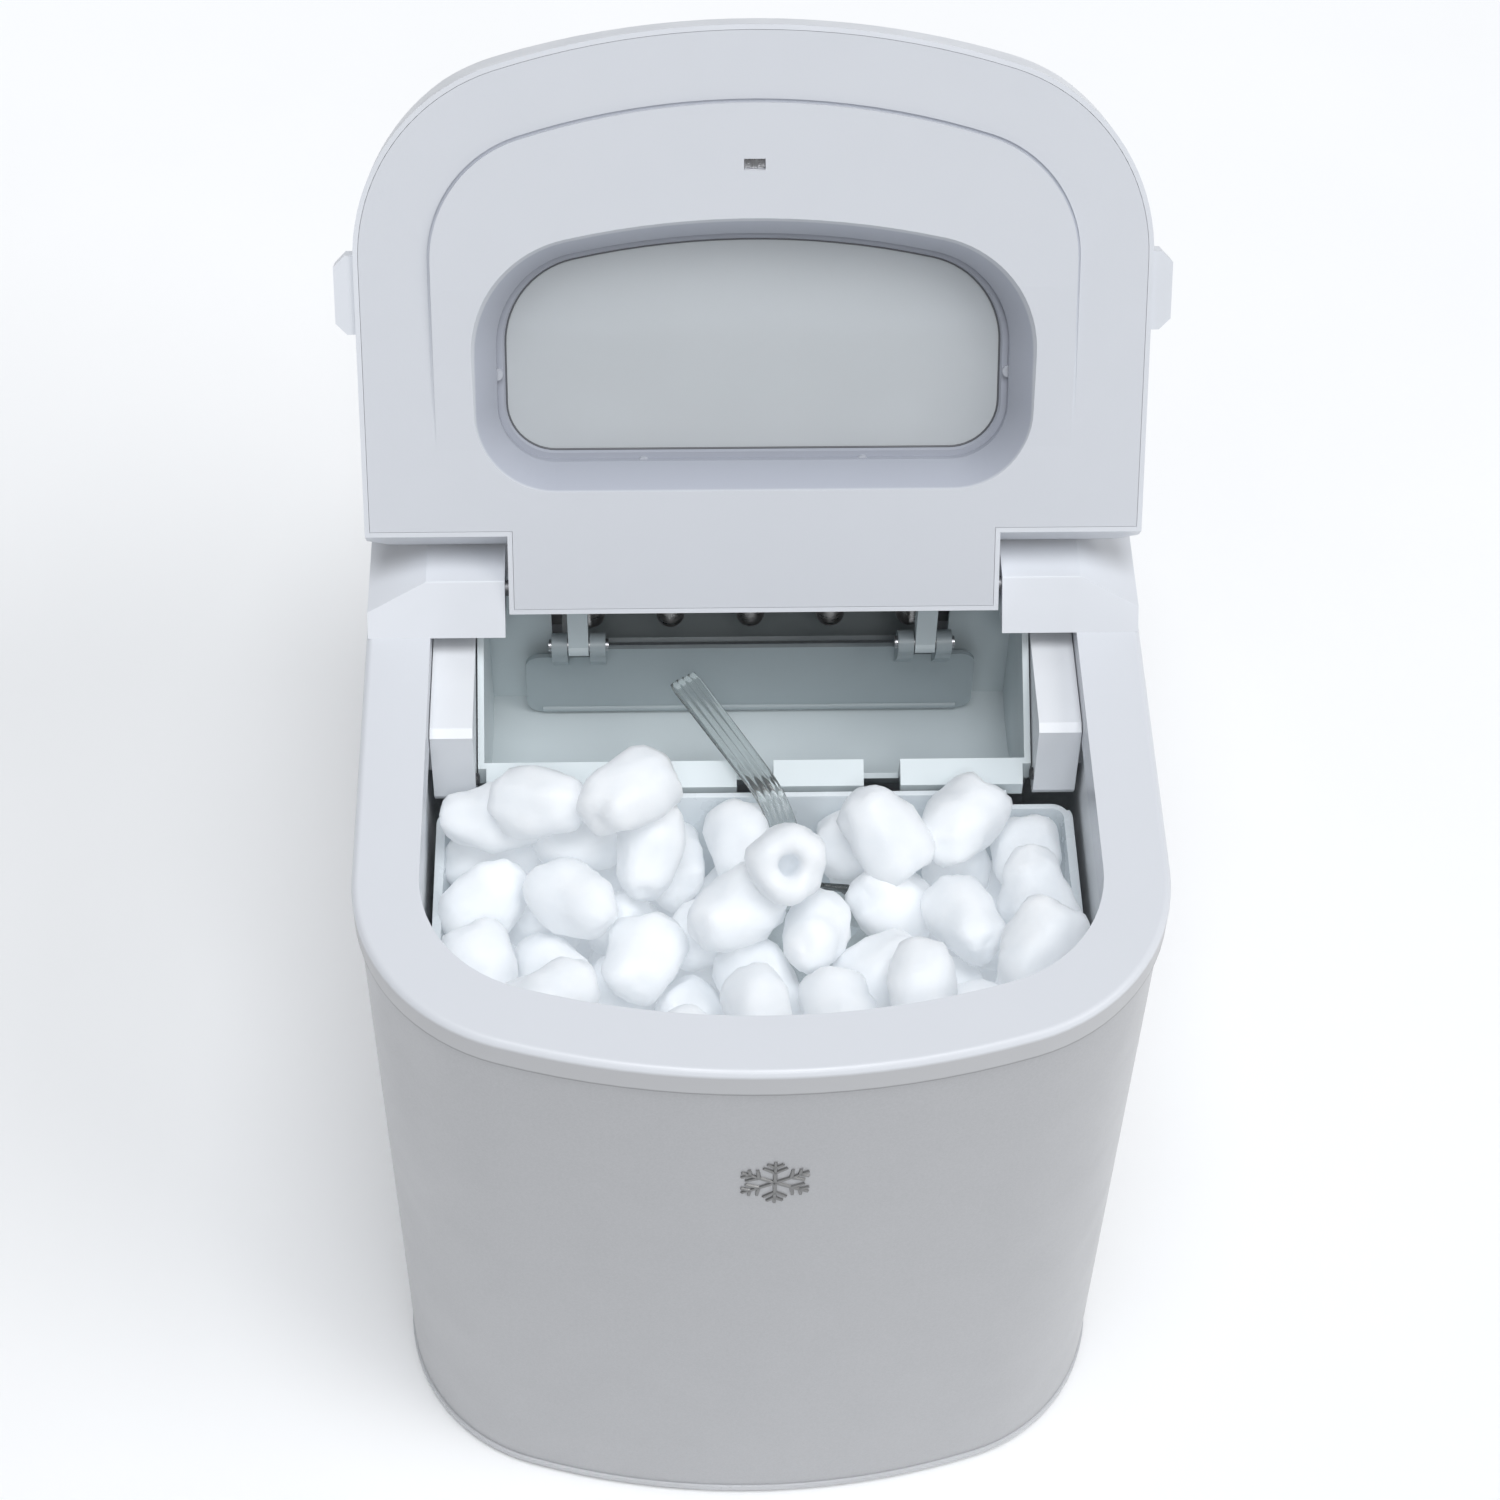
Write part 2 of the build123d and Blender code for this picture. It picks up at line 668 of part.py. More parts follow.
def trough_profile():
    """The ice trough's section: a sill, a round floor about the shovel's pivot and a low back wall."""
    inner = TROUGH_RADIUS
    outer = TROUGH_RADIUS + TROUGH_WALL
    back_inner = TROUGH_BACK_Y
    back_outer = TROUGH_BACK_Y + TROUGH_WALL
    sill_inner = -math.sqrt(inner**2 - (SHOVEL_Z - SILL_Z) ** 2)
    lip_z = SILL_Z - 8.0
    lip_outer = -math.sqrt(outer**2 - (SHOVEL_Z - lip_z) ** 2)
    floor_inner = SHOVEL_Z - math.sqrt(inner**2 - back_inner**2)
    floor_outer = SHOVEL_Z - math.sqrt(outer**2 - back_outer**2)
    inner_mid = (-inner * math.sqrt(0.5), SHOVEL_Z - inner * math.sqrt(0.5))
    outer_mid = (-outer * math.sqrt(0.5), SHOVEL_Z - outer * math.sqrt(0.5))
    return [
        ThreePointArc((sill_inner, SILL_Z), inner_mid, (back_inner, floor_inner)),
        Polyline(
            (back_inner, floor_inner), (back_inner, TROUGH_BACK_Z), (back_outer, TROUGH_BACK_Z),
            (back_outer, floor_outer),
        ),
        ThreePointArc((back_outer, floor_outer), outer_mid, (lip_outer, lip_z)),
        Polyline(
            (lip_outer, lip_z), (SILL_FRONT_Y, SILL_FRONT_Z - 5.0), (SILL_FRONT_Y, SILL_FRONT_Z),
            (sill_inner, SILL_Z),
        ),
    ]


def make_ice_trough():
    trough = prism_x(trough_profile(), -TROUGH_HALF_WIDTH, TROUGH_HALF_WIDTH)
    trough -= block(SILL_HALF_WIDTH, 200, -60, -44.6, 200, 260)
    trough -= block(-200, -SILL_HALF_WIDTH, -60, -44.6, 200, 260)
    outer = TROUGH_RADIUS + TROUGH_WALL
    cheek = rod_x(-TROUGH_HALF_WIDTH, TROUGH_HALF_WIDTH, 0, SHOVEL_Z, outer)
    cheek += block(-TROUGH_HALF_WIDTH, TROUGH_HALF_WIDTH, -30, 15, 240, 262)
    outline = closed((-44.6, 200), (-44.6, 239.0), (-10, 262), (15, 262), (15, 200))
    cheek &= prism_x(outline, -TROUGH_HALF_WIDTH, TROUGH_HALF_WIDTH)
    inner_x = TROUGH_HALF_WIDTH - TROUGH_WALL
    cheek -= block(-inner_x, inner_x, -100, 100, 100, 300)
    trough += cheek
    trough += both_sides(
        block(TRAY_HALF_WIDTH + 2.6, TROUGH_HALF_WIDTH, TROUGH_BACK_Y, 15.0, TROUGH_BACK_Z - 1, 262)
    )
    for x in SILL_GAP_XS:
        trough -= block(x - SILL_GAP / 2, x + SILL_GAP / 2, -60, -40, 229.0, 260)
    return trough


def make_ice_shovel():
    half = SHOVEL_HALF_WIDTH
    low_y = SHOVEL_PLATE_Y - SHOVEL_THICKNESS / 2
    high_y = SHOVEL_PLATE_Y + SHOVEL_THICKNESS / 2
    plate = block(-half, half, low_y, high_y, SHOVEL_BOTTOM_Z, SHOVEL_TOP_Z)
    corners = plate.edges().filter_by(Axis.Y)
    plate = fillet(corners, 5.0)
    middle = HANGER_X - HANGER_WIDTH / 2 - LUG_WIDTH - 0.4
    plate += block(-middle, middle, low_y, high_y, SHOVEL_TOP_Z - 8, SHOVEL_TOP_Z + 4.0)
    edge_bar = rod_x(-half + 5, half - 5, SHOVEL_PLATE_Y - 0.6, SHOVEL_BOTTOM_Z + 1.4, 1.2)
    plate += edge_bar
    lug_offset = HANGER_WIDTH / 2 + 0.4
    for side in (-1, 1):
        for away in (-1, 1):
            near = side * HANGER_X + away * lug_offset
            far = near + away * LUG_WIDTH
            low_x = min(near, far)
            high_x = max(near, far)
            profile = closed((-3.0, 244), (-2, 240), (low_y, 228), (high_y, 228), (high_y, 238), (3.9, 247))
            arm = prism_x(profile, low_x, high_x)
            hub = rod_x(low_x, high_x, 0, SHOVEL_Z, 3.9)
            plate += arm + hub
    return plate - rod_x(-100, 100, 0, SHOVEL_Z, 2.1)


def make_shovel_hangers():
    profile = closed(
        (-3.0, SHOVEL_Z), (-3.0, 267.0), (10.0, 267.0), (10.0, 262.6), (3.0, 262.6), (3.6, SHOVEL_Z)
    )
    low = HANGER_X - HANGER_WIDTH / 2
    hanger = prism_x(profile, low, low + HANGER_WIDTH) + rod_x(low, low + HANGER_WIDTH, 0, SHOVEL_Z, 3.6)
    hanger -= rod_x(0, 100, 0, SHOVEL_Z, 2.0)
    return both_sides(hanger)


def make_shovel_pins():
    reach = HANGER_WIDTH / 2 + LUG_WIDTH + 1.4
    return both_sides(rod_x(HANGER_X - reach, HANGER_X + reach, 0, SHOVEL_Z, 2.0))


def make_sensor_bracket(side):
    profile = closed(
        (RAMP_Y + 8, BRACKET_TOP_Z), (-46.6, BRACKET_TOP_Z), (-49.4, BRACKET_TOP_Z - 1.6),
        (BRACKET_FRONT_Y, BRACKET_BOTTOM_Z + 3), (BRACKET_FRONT_Y + 1.4, BRACKET_BOTTOM_Z),
        (-40, BRACKET_BOTTOM_Z), (RAMP_Y + 8, 244),
    )
    bracket = prism_x(profile, BRACKET_INNER_X, BRACKET_OUTER_X)
    hollow = prism_x(
        closed((RAMP_Y + 20, 259), (-44, 259), (-47.4, 236), (-38, 234), (RAMP_Y + 20, 246)),
        BRACKET_INNER_X + 2, BRACKET_OUTER_X - 2,
    )
    bracket -= hollow
    wall_x = HALF_WIDTH - TUB_INSET - TUB_WALL
    bracket += block(BRACKET_OUTER_X - 0.5, wall_x, -44, -16, 238, 252)
    bracket -= rod_x(BRACKET_INNER_X - 1, BRACKET_INNER_X + 2, SENSOR_Y, SENSOR_Z, 2.0)
    return mirror(bracket, about=Plane.YZ) if side < 0 else bracket


def make_ice_sensor(side):
    barrel = rod_x(BRACKET_INNER_X - 1.2, BRACKET_INNER_X + 2, SENSOR_Y, SENSOR_Z, 2.0)
    barrel = fillet(barrel.edges().sort_by(Axis.X)[0], 1.0)
    return mirror(barrel, about=Plane.YZ) if side < 0 else barrel


def make_evaporator_block():
    half = EVAPORATOR_HALF_WIDTH
    top = EVAPORATOR_Z + EVAPORATOR_HEIGHT
    bar = block(-half, half, 10, 50, EVAPORATOR_Z, top)
    return fillet(bar.edges().filter_by(Axis.Z), 4.0)


def make_evaporator_fingers():
    fingers = []
    for row, y in enumerate(FINGER_ROW_YS):
        count = 5 - row
        for index in range(count):
            x = (index - (count - 1) / 2) * FINGER_PITCH
            finger = rod_z(x, y, FINGER_TIP_Z, EVAPORATOR_Z, FINGER_RADIUS)
            finger = fillet(finger.edges().sort_by(Axis.Z)[0], 3.6)
            fingers += finger.solids()
    return Compound(children=fingers)


def make_evaporator_insulation():
    top = EVAPORATOR_Z + EVAPORATOR_HEIGHT
    return block(-EVAPORATOR_HALF_WIDTH, EVAPORATOR_HALF_WIDTH, 15, 52, top, top + 5.0)


def tray_section(radius, depth, rear_y):
    """The tray's section when level: a front wall round about its pivot and a flat floor."""
    floor_y = TRAY_PIVOT_Y - math.sqrt(radius**2 - depth**2)
    half = math.asin(depth / radius) / 2
    middle = (TRAY_PIVOT_Y - radius * math.cos(half), TRAY_PIVOT_Z - radius * math.sin(half))
    front = (TRAY_PIVOT_Y - radius, TRAY_PIVOT_Z)
    floor = (floor_y, TRAY_PIVOT_Z - depth)
    rest = Polyline(floor, (rear_y, TRAY_PIVOT_Z - depth), (rear_y, TRAY_PIVOT_Z), front)
    return [ThreePointArc(front, middle, floor), rest]


def make_water_tray():
    half = TRAY_HALF_WIDTH
    tray = prism_x(tray_section(TRAY_RADIUS, TRAY_DEPTH, TRAY_REAR_Y), -half, half)
    hollow = prism_x(
        tray_section(TRAY_RADIUS - TRAY_WALL, TRAY_DEPTH - TRAY_WALL, TRAY_REAR_Y - TRAY_WALL),
        -half + TRAY_WALL, half - TRAY_WALL,
    )
    lift = Pos(0, 0, 0.01)
    tray -= lift * hollow
    lug = rod_x(half - TRAY_WALL, half, TRAY_PIVOT_Y, TRAY_PIVOT_Z, 5.0)
    pin = rod_x(half, half + 8.0, TRAY_PIVOT_Y, TRAY_PIVOT_Z, TRAY_PIN_RADIUS)
    for stub in (lug, pin):
        tray += stub
        tray += mirror(stub, about=Plane.YZ)
    return tray.rotate(TRAY_AXIS, TRAY_REST_TILT)


def make_tray_motor():
    case = block(67.0, 96.0, 42, 76, 238, 262)
    case = fillet(case.edges().filter_by(Axis.X), 5.0)
    case += block(95.0, HALF_WIDTH - TUB_INSET - TUB_WALL, 48, 70, 242, 255.6)
    return case - rod_x(60, 71, TRAY_PIVOT_Y, TRAY_PIVOT_Z, TRAY_PIN_RADIUS + PIN_CLEARANCE)


def make_tray_bearing():
    bearing = block(-100.8, -67.0, 50, 66, 248, 262)
    bearing += block(-HALF_WIDTH + TUB_INSET + TUB_WALL, -100.0, 50, 66, 240, 255.6)
    return bearing - rod_x(-71, -60, TRAY_PIVOT_Y, TRAY_PIVOT_Z, TRAY_PIN_RADIUS + PIN_CLEARANCE)


def make_water_level_sensor():
    stem = rod_z(-78, 24, TUB_BOTTOM_Z + TUB_WALL, 132, 3.0)
    bell = rod_z(-78, 24, 92, 106, 9.0)
    collar = rod_z(-78, 24, 128, 132, 6.0)
    return stem + bell + collar


def make_water_pump():
    front = TUB_REAR_Y + 4.0
    body = rod_z(PUMP_X, front + 20.0, 60, 109, 17.0)
    inlet = rod_y(PUMP_X, TUB_REAR_Y, front + 8.0, PUMP_Z, 5.0)
    outlet = rod_z(PUMP_X, HOSE_Y, 106, 122, 3.0)
    arm = block(PUMP_X - 4.5, PUMP_X + 4.5, front + 20.0, HOSE_Y + 4.5, 98, 107)
    return body + inlet + arm + outlet


def make_pump_hose():
    """From the pump's outlet up behind the tub and over to the tray."""
    points = [
        (PUMP_X, HOSE_Y, 122.0), (PUMP_X, HOSE_Y, 268.2), (30.0, 70.0, 268.2),
        (30.0, 57.0, 268.2), (30.0, 57.0, 258.6),
    ]
    return pipe(points, [12.0, 10.0, 4.0], 3.4)


def make_compressor():
    low = COMPRESSOR_BOTTOM_Z
    top = COMPRESSOR_TOP_Z
    can = rod_z(COMPRESSOR_X, COMPRESSOR_Y, low, top, COMPRESSOR_RADIUS)
    can = fillet(can.edges().group_by(Axis.Z)[-1], 26.0)
    can = fillet(can.edges().group_by(Axis.Z)[0], 10.0)
    seam = rod_z(COMPRESSOR_X, COMPRESSOR_Y, 84, 88, COMPRESSOR_RADIUS + 2.0)
    body = can + seam
    for x in (-COMPRESSOR_BOLT_X, COMPRESSOR_BOLT_X):
        for y in (-COMPRESSOR_BOLT_Y, COMPRESSOR_BOLT_Y):
            tab = block(x - 9, x + 9, y - 8, y + 8, low + 6.0, low + 9.0)
            body += Pos(COMPRESSOR_X, COMPRESSOR_Y, 0) * tab
    for x in (-COMPRESSOR_BOLT_X, COMPRESSOR_BOLT_X):
        for y in (-COMPRESSOR_BOLT_Y, COMPRESSOR_BOLT_Y):
            body -= rod_z(COMPRESSOR_X + x, COMPRESSOR_Y + y, low, low + 12.0, 3.0)
    return body


def make_compressor_grommets():
    low = COMPRESSOR_BOTTOM_Z + 6.0
    grommets = []
    for x in (-COMPRESSOR_BOLT_X, COMPRESSOR_BOLT_X):
        for y in (-COMPRESSOR_BOLT_Y, COMPRESSOR_BOLT_Y):
            ring = rod_z(COMPRESSOR_X + x, COMPRESSOR_Y + y, SHELL_BOTTOM_Z - 0.2, low, 6.0)
            grommets += ring.solids()
    return Compound(children=grommets)


def condenser_tube_rows():
    rows = 6
    spacing = (CONDENSER_TOP_Z - CONDENSER_BOTTOM_Z) / rows
    return [CONDENSER_BOTTOM_Z + spacing * (index + 0.5) for index in range(rows)]


def make_condenser_fins():
    fins = []
    step = 2 * CONDENSER_HALF_WIDTH / (FIN_COUNT - 1)
    fin = block(-0.3, 0.3, CONDENSER_Y, CONDENSER_Y + CONDENSER_DEPTH, CONDENSER_BOTTOM_Z, CONDENSER_TOP_Z)
    middle_y = CONDENSER_Y + CONDENSER_DEPTH / 2
    for z in condenser_tube_rows():
        fin -= rod_x(-1, 1, middle_y, z, TUBE_RADIUS + 0.6)
    for index in range(FIN_COUNT):
        offset = FAN_X - CONDENSER_HALF_WIDTH + step * index
        fins += (Pos(offset, 0, 0) * fin).solids()
    return Compound(children=fins)


def make_condenser_tube():
    middle_y = CONDENSER_Y + CONDENSER_DEPTH / 2
    rows = condenser_tube_rows()
    low_x = FAN_X - CONDENSER_REACH
    high_x = FAN_X + CONDENSER_REACH
    points = []
    for index, z in enumerate(rows):
        pair = [(low_x, middle_y, z), (high_x, middle_y, z)]
        points += pair if index % 2 == 0 else pair[::-1]
    radii = [TUBE_BEND] * (len(points) - 2)
    return pipe(points, radii, TUBE_RADIUS)


def make_condenser_bracket():
    low_z = SHELL_BOTTOM_Z - 0.2
    plate = block(FAN_X - 50, FAN_X + 50, CONDENSER_Y + 4, CONDENSER_Y + 18, low_z, low_z + 2.0)
    web = block(FAN_X - 50, FAN_X + 50, CONDENSER_Y + 10, CONDENSER_Y + 12, low_z, CONDENSER_BOTTOM_Z)
    return plate + web


def make_fan_shroud():
    low_y = FAN_FRONT_Y
    high_y = REAR_Y - SHELL_INSET - SHELL_WALL - 1.0
    frame = block(FAN_X - 50, FAN_X + 50, low_y, high_y, FAN_Z - 50, FAN_Z + 50)
    frame = fillet(frame.edges().filter_by(Axis.Y), 6.0)
    frame -= rod_y(FAN_X, low_y - 1, high_y + 1, FAN_Z, FAN_RADIUS + 1.0)
    for turn in (20, 140, 260):
        arm = Pos(FAN_X, low_y + 1.2, FAN_Z) * Rot(0, turn, 0) * Pos(31.6, 0, 0) * Box(32.8, 2.4, 5)
        frame += arm
    foot = block(FAN_X - 24, FAN_X + 24, low_y, high_y - 2.0, SHELL_BOTTOM_Z - 0.2, FAN_Z - 50)
    foot -= block(FAN_X - 20, FAN_X + 20, low_y - 1, high_y + 1, SHELL_BOTTOM_Z + 2, FAN_Z - 52)
    return frame + foot


def make_fan_motor():
    case = rod_y(FAN_X, FAN_FRONT_Y, FAN_FRONT_Y + 9.0, FAN_Z, 15.0)
    return case - rod_y(FAN_X, FAN_FRONT_Y + 3.0, FAN_FRONT_Y + 10.0, FAN_Z, FAN_SHAFT_RADIUS + PIN_CLEARANCE)


def make_fan_blade():
    low_y = FAN_FRONT_Y + 9.6
    hub = rod_y(FAN_X, low_y, low_y + 11.0, FAN_Z, 15.0)
    shaft = rod_y(FAN_X, low_y - 4.6, low_y, FAN_Z, FAN_SHAFT_RADIUS)
    fan = hub + shaft
    for index in range(7):
        blade = Pos(28.5, 0, 0) * Rot(32, 0, 0) * Box(31, 1.6, 17)
        blade &= Pos(0, 0, 0) * Rot(90, 0, 0) * Cylinder(FAN_RADIUS - 1.0, 30)
        fan += Pos(FAN_X, low_y + 5.5, FAN_Z) * Rot(0, 360 / 7 * index, 0) * blade
    return fan


def make_filter_drier():
    body = rod_z(0, DRIER_Y, 170, 214, 8.0)
    body = fillet(body.edges().group_by(Axis.Z)[-1], 5.0)
    return fillet(body.edges().group_by(Axis.Z)[0], 5.0)


def make_discharge_tube():
    """From the compressor's top to the condenser's top row."""
    middle_y = CONDENSER_Y + CONDENSER_DEPTH / 2
    top_row = condenser_tube_rows()[-1]
    start_x = COMPRESSOR_X + 14.0
    end_x = FAN_X - CONDENSER_REACH
    points = [
        (start_x, COMPRESSOR_Y, COMPRESSOR_TOP_Z), (start_x, COMPRESSOR_Y, 160.0),
        (start_x + 20.0, middle_y, 160.0), (end_x - 9.0, middle_y, 158.0),
        (end_x - 9.0, middle_y, top_row), (end_x, middle_y, top_row),
    ]
    return pipe(points, [6.0, 6.0, 4.0, 5.0], TUBE_RADIUS)


def make_liquid_tube():
    """From the condenser's bottom row up to the drier, and on to the evaporator."""
    middle_y = CONDENSER_Y + CONDENSER_DEPTH / 2
    bottom_row = condenser_tube_rows()[0]
    start_x = FAN_X - CONDENSER_REACH
    corner_x = start_x - 3.6
    lower = pipe(
        [
            (start_x, middle_y, bottom_row), (corner_x, middle_y, bottom_row),
            (corner_x, DRIER_Y, bottom_row),
            (corner_x, DRIER_Y, 148.0), (0.0, DRIER_Y, 158.0), (0.0, DRIER_Y, 170.0),
        ],
        [3.0, 5.0, 6.0, 6.0],
        1.6,
    )
    upper = pipe(
        [(0.0, DRIER_Y, 214.0), (0.0, DRIER_Y, 268.0), (0.0, 50.0, 268.0)],
        [10.0],
        1.6,
    )
    return Compound(children=[*lower.solids(), *upper.solids()])


def make_suction_tube():
    """From the evaporator back to the compressor's top."""
    start_x = COMPRESSOR_X - 10.0
    points = [
        (start_x, 50.0, 268.0), (start_x, DRIER_Y, 268.0), (start_x, DRIER_Y, 170.0),
        (start_x, COMPRESSOR_Y, 160.0), (start_x, COMPRESSOR_Y, COMPRESSOR_TOP_Z),
    ]
    return pipe(points, [10.0, 5.0, 4.0], TUBE_RADIUS)


def make_main_board():
    board = block(-100, -20, 158, 159.6, 176, 252)
    for x, z, width, height, depth in BOARD_PARTS:
        board += block(x, x + width, 158 - depth, 158, z, z + height)
    for x in (-94.0, -26.0):
        for z in (182.0, 246.0):
            board += rod_y(x, 159.6, REAR_Y - SHELL_INSET - SHELL_WALL, z, 3.0)
    return board


# Lid, drawn closed and then opened


def lid_form(wall):
    """The lid cover's outer form, or with a wall thickness its hollow inside."""
    low = LID_BOTTOM_Z - (1.0 if wall else 0.0)
    form = slab(cabinet_outline(LID_INSET + wall), low, 320.0)
    rear_low = LID_SIDE_REAR_Y - 1.4 * wall
    rear_top = -15.5 - 1.4 * wall
    side_profile = [
        ThreePointArc((rear_top, 284.6 - wall), (-97.0, LID_CROWN_Z - wall), (FRONT_Y - 2, 280.0 - wall)),
        Polyline(
            (FRONT_Y - 2, 280.0 - wall), (FRONT_Y - 2, low), (rear_low, low),
            (rear_top - 1.0, SHOULDER_Z - 1.0 - wall), (rear_top, 284.6 - wall),
        ),
    ]
    arch = [
        ThreePointArc(
            (113.0 - wall, 283.5 - wall), (0, LID_CROWN_Z + 0.5 - wall), (-113.0 + wall, 283.5 - wall)
        ),
        Polyline(
            (-113.0 + wall, 283.5 - wall), (-HALF_WIDTH + LID_INSET + wall, 276.0 - 0.5 * wall),
            (-HALF_WIDTH + LID_INSET + wall, low), (HALF_WIDTH - LID_INSET - wall, low),
            (HALF_WIDTH - LID_INSET - wall, 276.0 - 0.5 * wall), (113.0 - wall, 283.5 - wall),
        ),
    ]
    form &= prism_x(side_profile, -130, 130)
    return form & prism_y(arch, -220, 0)


def make_lid_cover():
    cover = lid_form(0) - lid_form(LID_WALL)
    half = TONGUE_HALF_WIDTH
    top = HINGE_Z + BARREL_RADIUS
    tongue = block(-half, half, LID_SIDE_REAR_Y - 3, HINGE_Y, LID_BOTTOM_Z, top)
    tongue += rod_x(-half, half, HINGE_Y, HINGE_Z, BARREL_RADIUS)
    hollow = block(-half + LID_WALL, half - LID_WALL, -60, -11.6, LID_BOTTOM_Z - 1, top - LID_WALL)
    cover = cover - block(-half + LID_WALL, half - LID_WALL, -30, -11.6, LID_BOTTOM_Z - 1, 281)
    tail = block(-half, half, HINGE_Y, TONGUE_END_Y, LID_BOTTOM_Z, LID_BOTTOM_Z + PANEL_THICKNESS + 1.4)
    cover += tongue - hollow + tail
    cover -= panel_form(0, LID_BOTTOM_Z - 1, LID_BOTTOM_Z + PANEL_THICKNESS + 0.1)
    cover -= slab(window_outline(-1.0), 260, 320)
    skirt = slab(window_outline(1.2), PANE_TOP_Z + 0.1, 320) - slab(window_outline(-1.0), 280, 330)
    cover += skirt & lid_form(0.6)
    for side in (-1, 1):
        near = side * (HALF_WIDTH - LID_INSET - 1.0)
        far = side * (HALF_WIDTH + 5.0)
        ear = block(min(near, far), max(near, far), -110.0, -86.0, LID_BOTTOM_Z + 1.0, LID_BOTTOM_Z + 8.0)
        ear = chamfer(ear.edges().filter_by(Axis.Z).sort_by(lambda e: abs(e.center().X))[-2:], 3.4)
        cover += ear
    cover -= rod_x(-100, 100, HINGE_Y, HINGE_Z, PIN_RADIUS + PIN_CLEARANCE)
    return open_lid(cover)


def panel_form(gap, low, high):
    """The inner panel's flat form with its tongue, drawn in by a gap all round."""
    form = slab(cabinet_outline(LID_INSET + LID_RIM + gap), low, high)
    form &= before(LID_SIDE_REAR_Y - LID_RIM - gap)
    half = TONGUE_HALF_WIDTH - LID_RIM - gap
    return form + block(-half, half, LID_SIDE_REAR_Y - 10, TONGUE_END_Y - LID_RIM - gap, low, high)


def plug_outline(spread):
    """The outline of the raised field that drops into the opening."""
    return arched_outline(
        PLUG_HALF_WIDTH + spread, -40.0, TURN_Y, PLUG_FRONT_Y - spread, PLUG_CORNER_RADIUS + spread, 4.0
    )


def make_lid_inner_panel():
    low = LID_BOTTOM_Z
    panel = panel_form(0.12, low, low + PANEL_THICKNESS)
    groove = slab(plug_outline(PLUG_GROOVE), low - 1, low + PLUG_GROOVE_DEPTH)
    fade = closed((-58.0, low), (PLUG_FRONT_Y - 5, low + 1), (PLUG_FRONT_Y - 5, low - 2), (-58.0, low - 2))
    panel -= groove & prism_x(fade, -130, 130)
    plug = slab(plug_outline(0), low - PLUG_HEIGHT, low + PLUG_GROOVE_DEPTH + 0.4)
    wedge = closed(
        (-50.0, low), (-100.0, low - PLUG_HEIGHT), (PLUG_FRONT_Y - 5, low - PLUG_HEIGHT - 0.1),
        (PLUG_FRONT_Y - 5, low + 1), (-50, low + 1),
    )
    panel += plug & prism_x(wedge, -130, 130)
    top = low + RECESS_DEPTH
    wide = Pos(0, 0, low) * window_outline(RECESS_SPREAD + 2.0)
    narrow = Pos(0, 0, top) * window_outline(WINDOW_LEDGE + 2.0)
    funnel = loft([wide, narrow])
    wide_hole = Pos(0, 0, low - 2.0) * window_outline(RECESS_SPREAD + RECESS_SPREAD * 2.0 / RECESS_DEPTH)
    narrow_hole = Pos(0, 0, top + 0.01) * window_outline(0)
    panel += funnel
    panel -= loft([wide_hole, narrow_hole])
    panel -= slab(window_outline(WINDOW_LEDGE), top - 6.0, top - WINDOW_LEDGE_DEPTH)
    panel -= block(-3.2, 3.2, MAGNET_Y - 1.7, MAGNET_Y + 1.7, 260, 280)
    return open_lid(panel)


def make_lid_window():
    pane = slab(window_outline(3.0), LID_BOTTOM_Z + RECESS_DEPTH, PANE_TOP_Z)
    return open_lid(pane)


def make_window_clips():
    recess_top = PANE_TOP_Z - PANE_THICKNESS
    clips = []
    for x, y in CLIP_PLACES:
        clips += rod_z(x, y, recess_top - 3.0, recess_top - 0.8, 1.8).solids()
    return open_lid(Compound(children=clips))


def make_lid_magnet():
    low = LID_BOTTOM_Z + 0.8
    magnet = block(-1.1, 1.1, MAGNET_Y - 1.6, MAGNET_Y + 1.6, low, low + 4.0)
    holder = block(-6, 6, MAGNET_Y - 4, MAGNET_Y + 4, LID_BOTTOM_Z + 2.2, low + 6.0)
    return open_lid(magnet + holder)


def make_hinge_pins():
    pin = rod_x(SHOULDER_INNER_X - 12.0, SHOULDER_INNER_X + 11.8, HINGE_Y, HINGE_Z, PIN_RADIUS)
    return both_sides(pin)


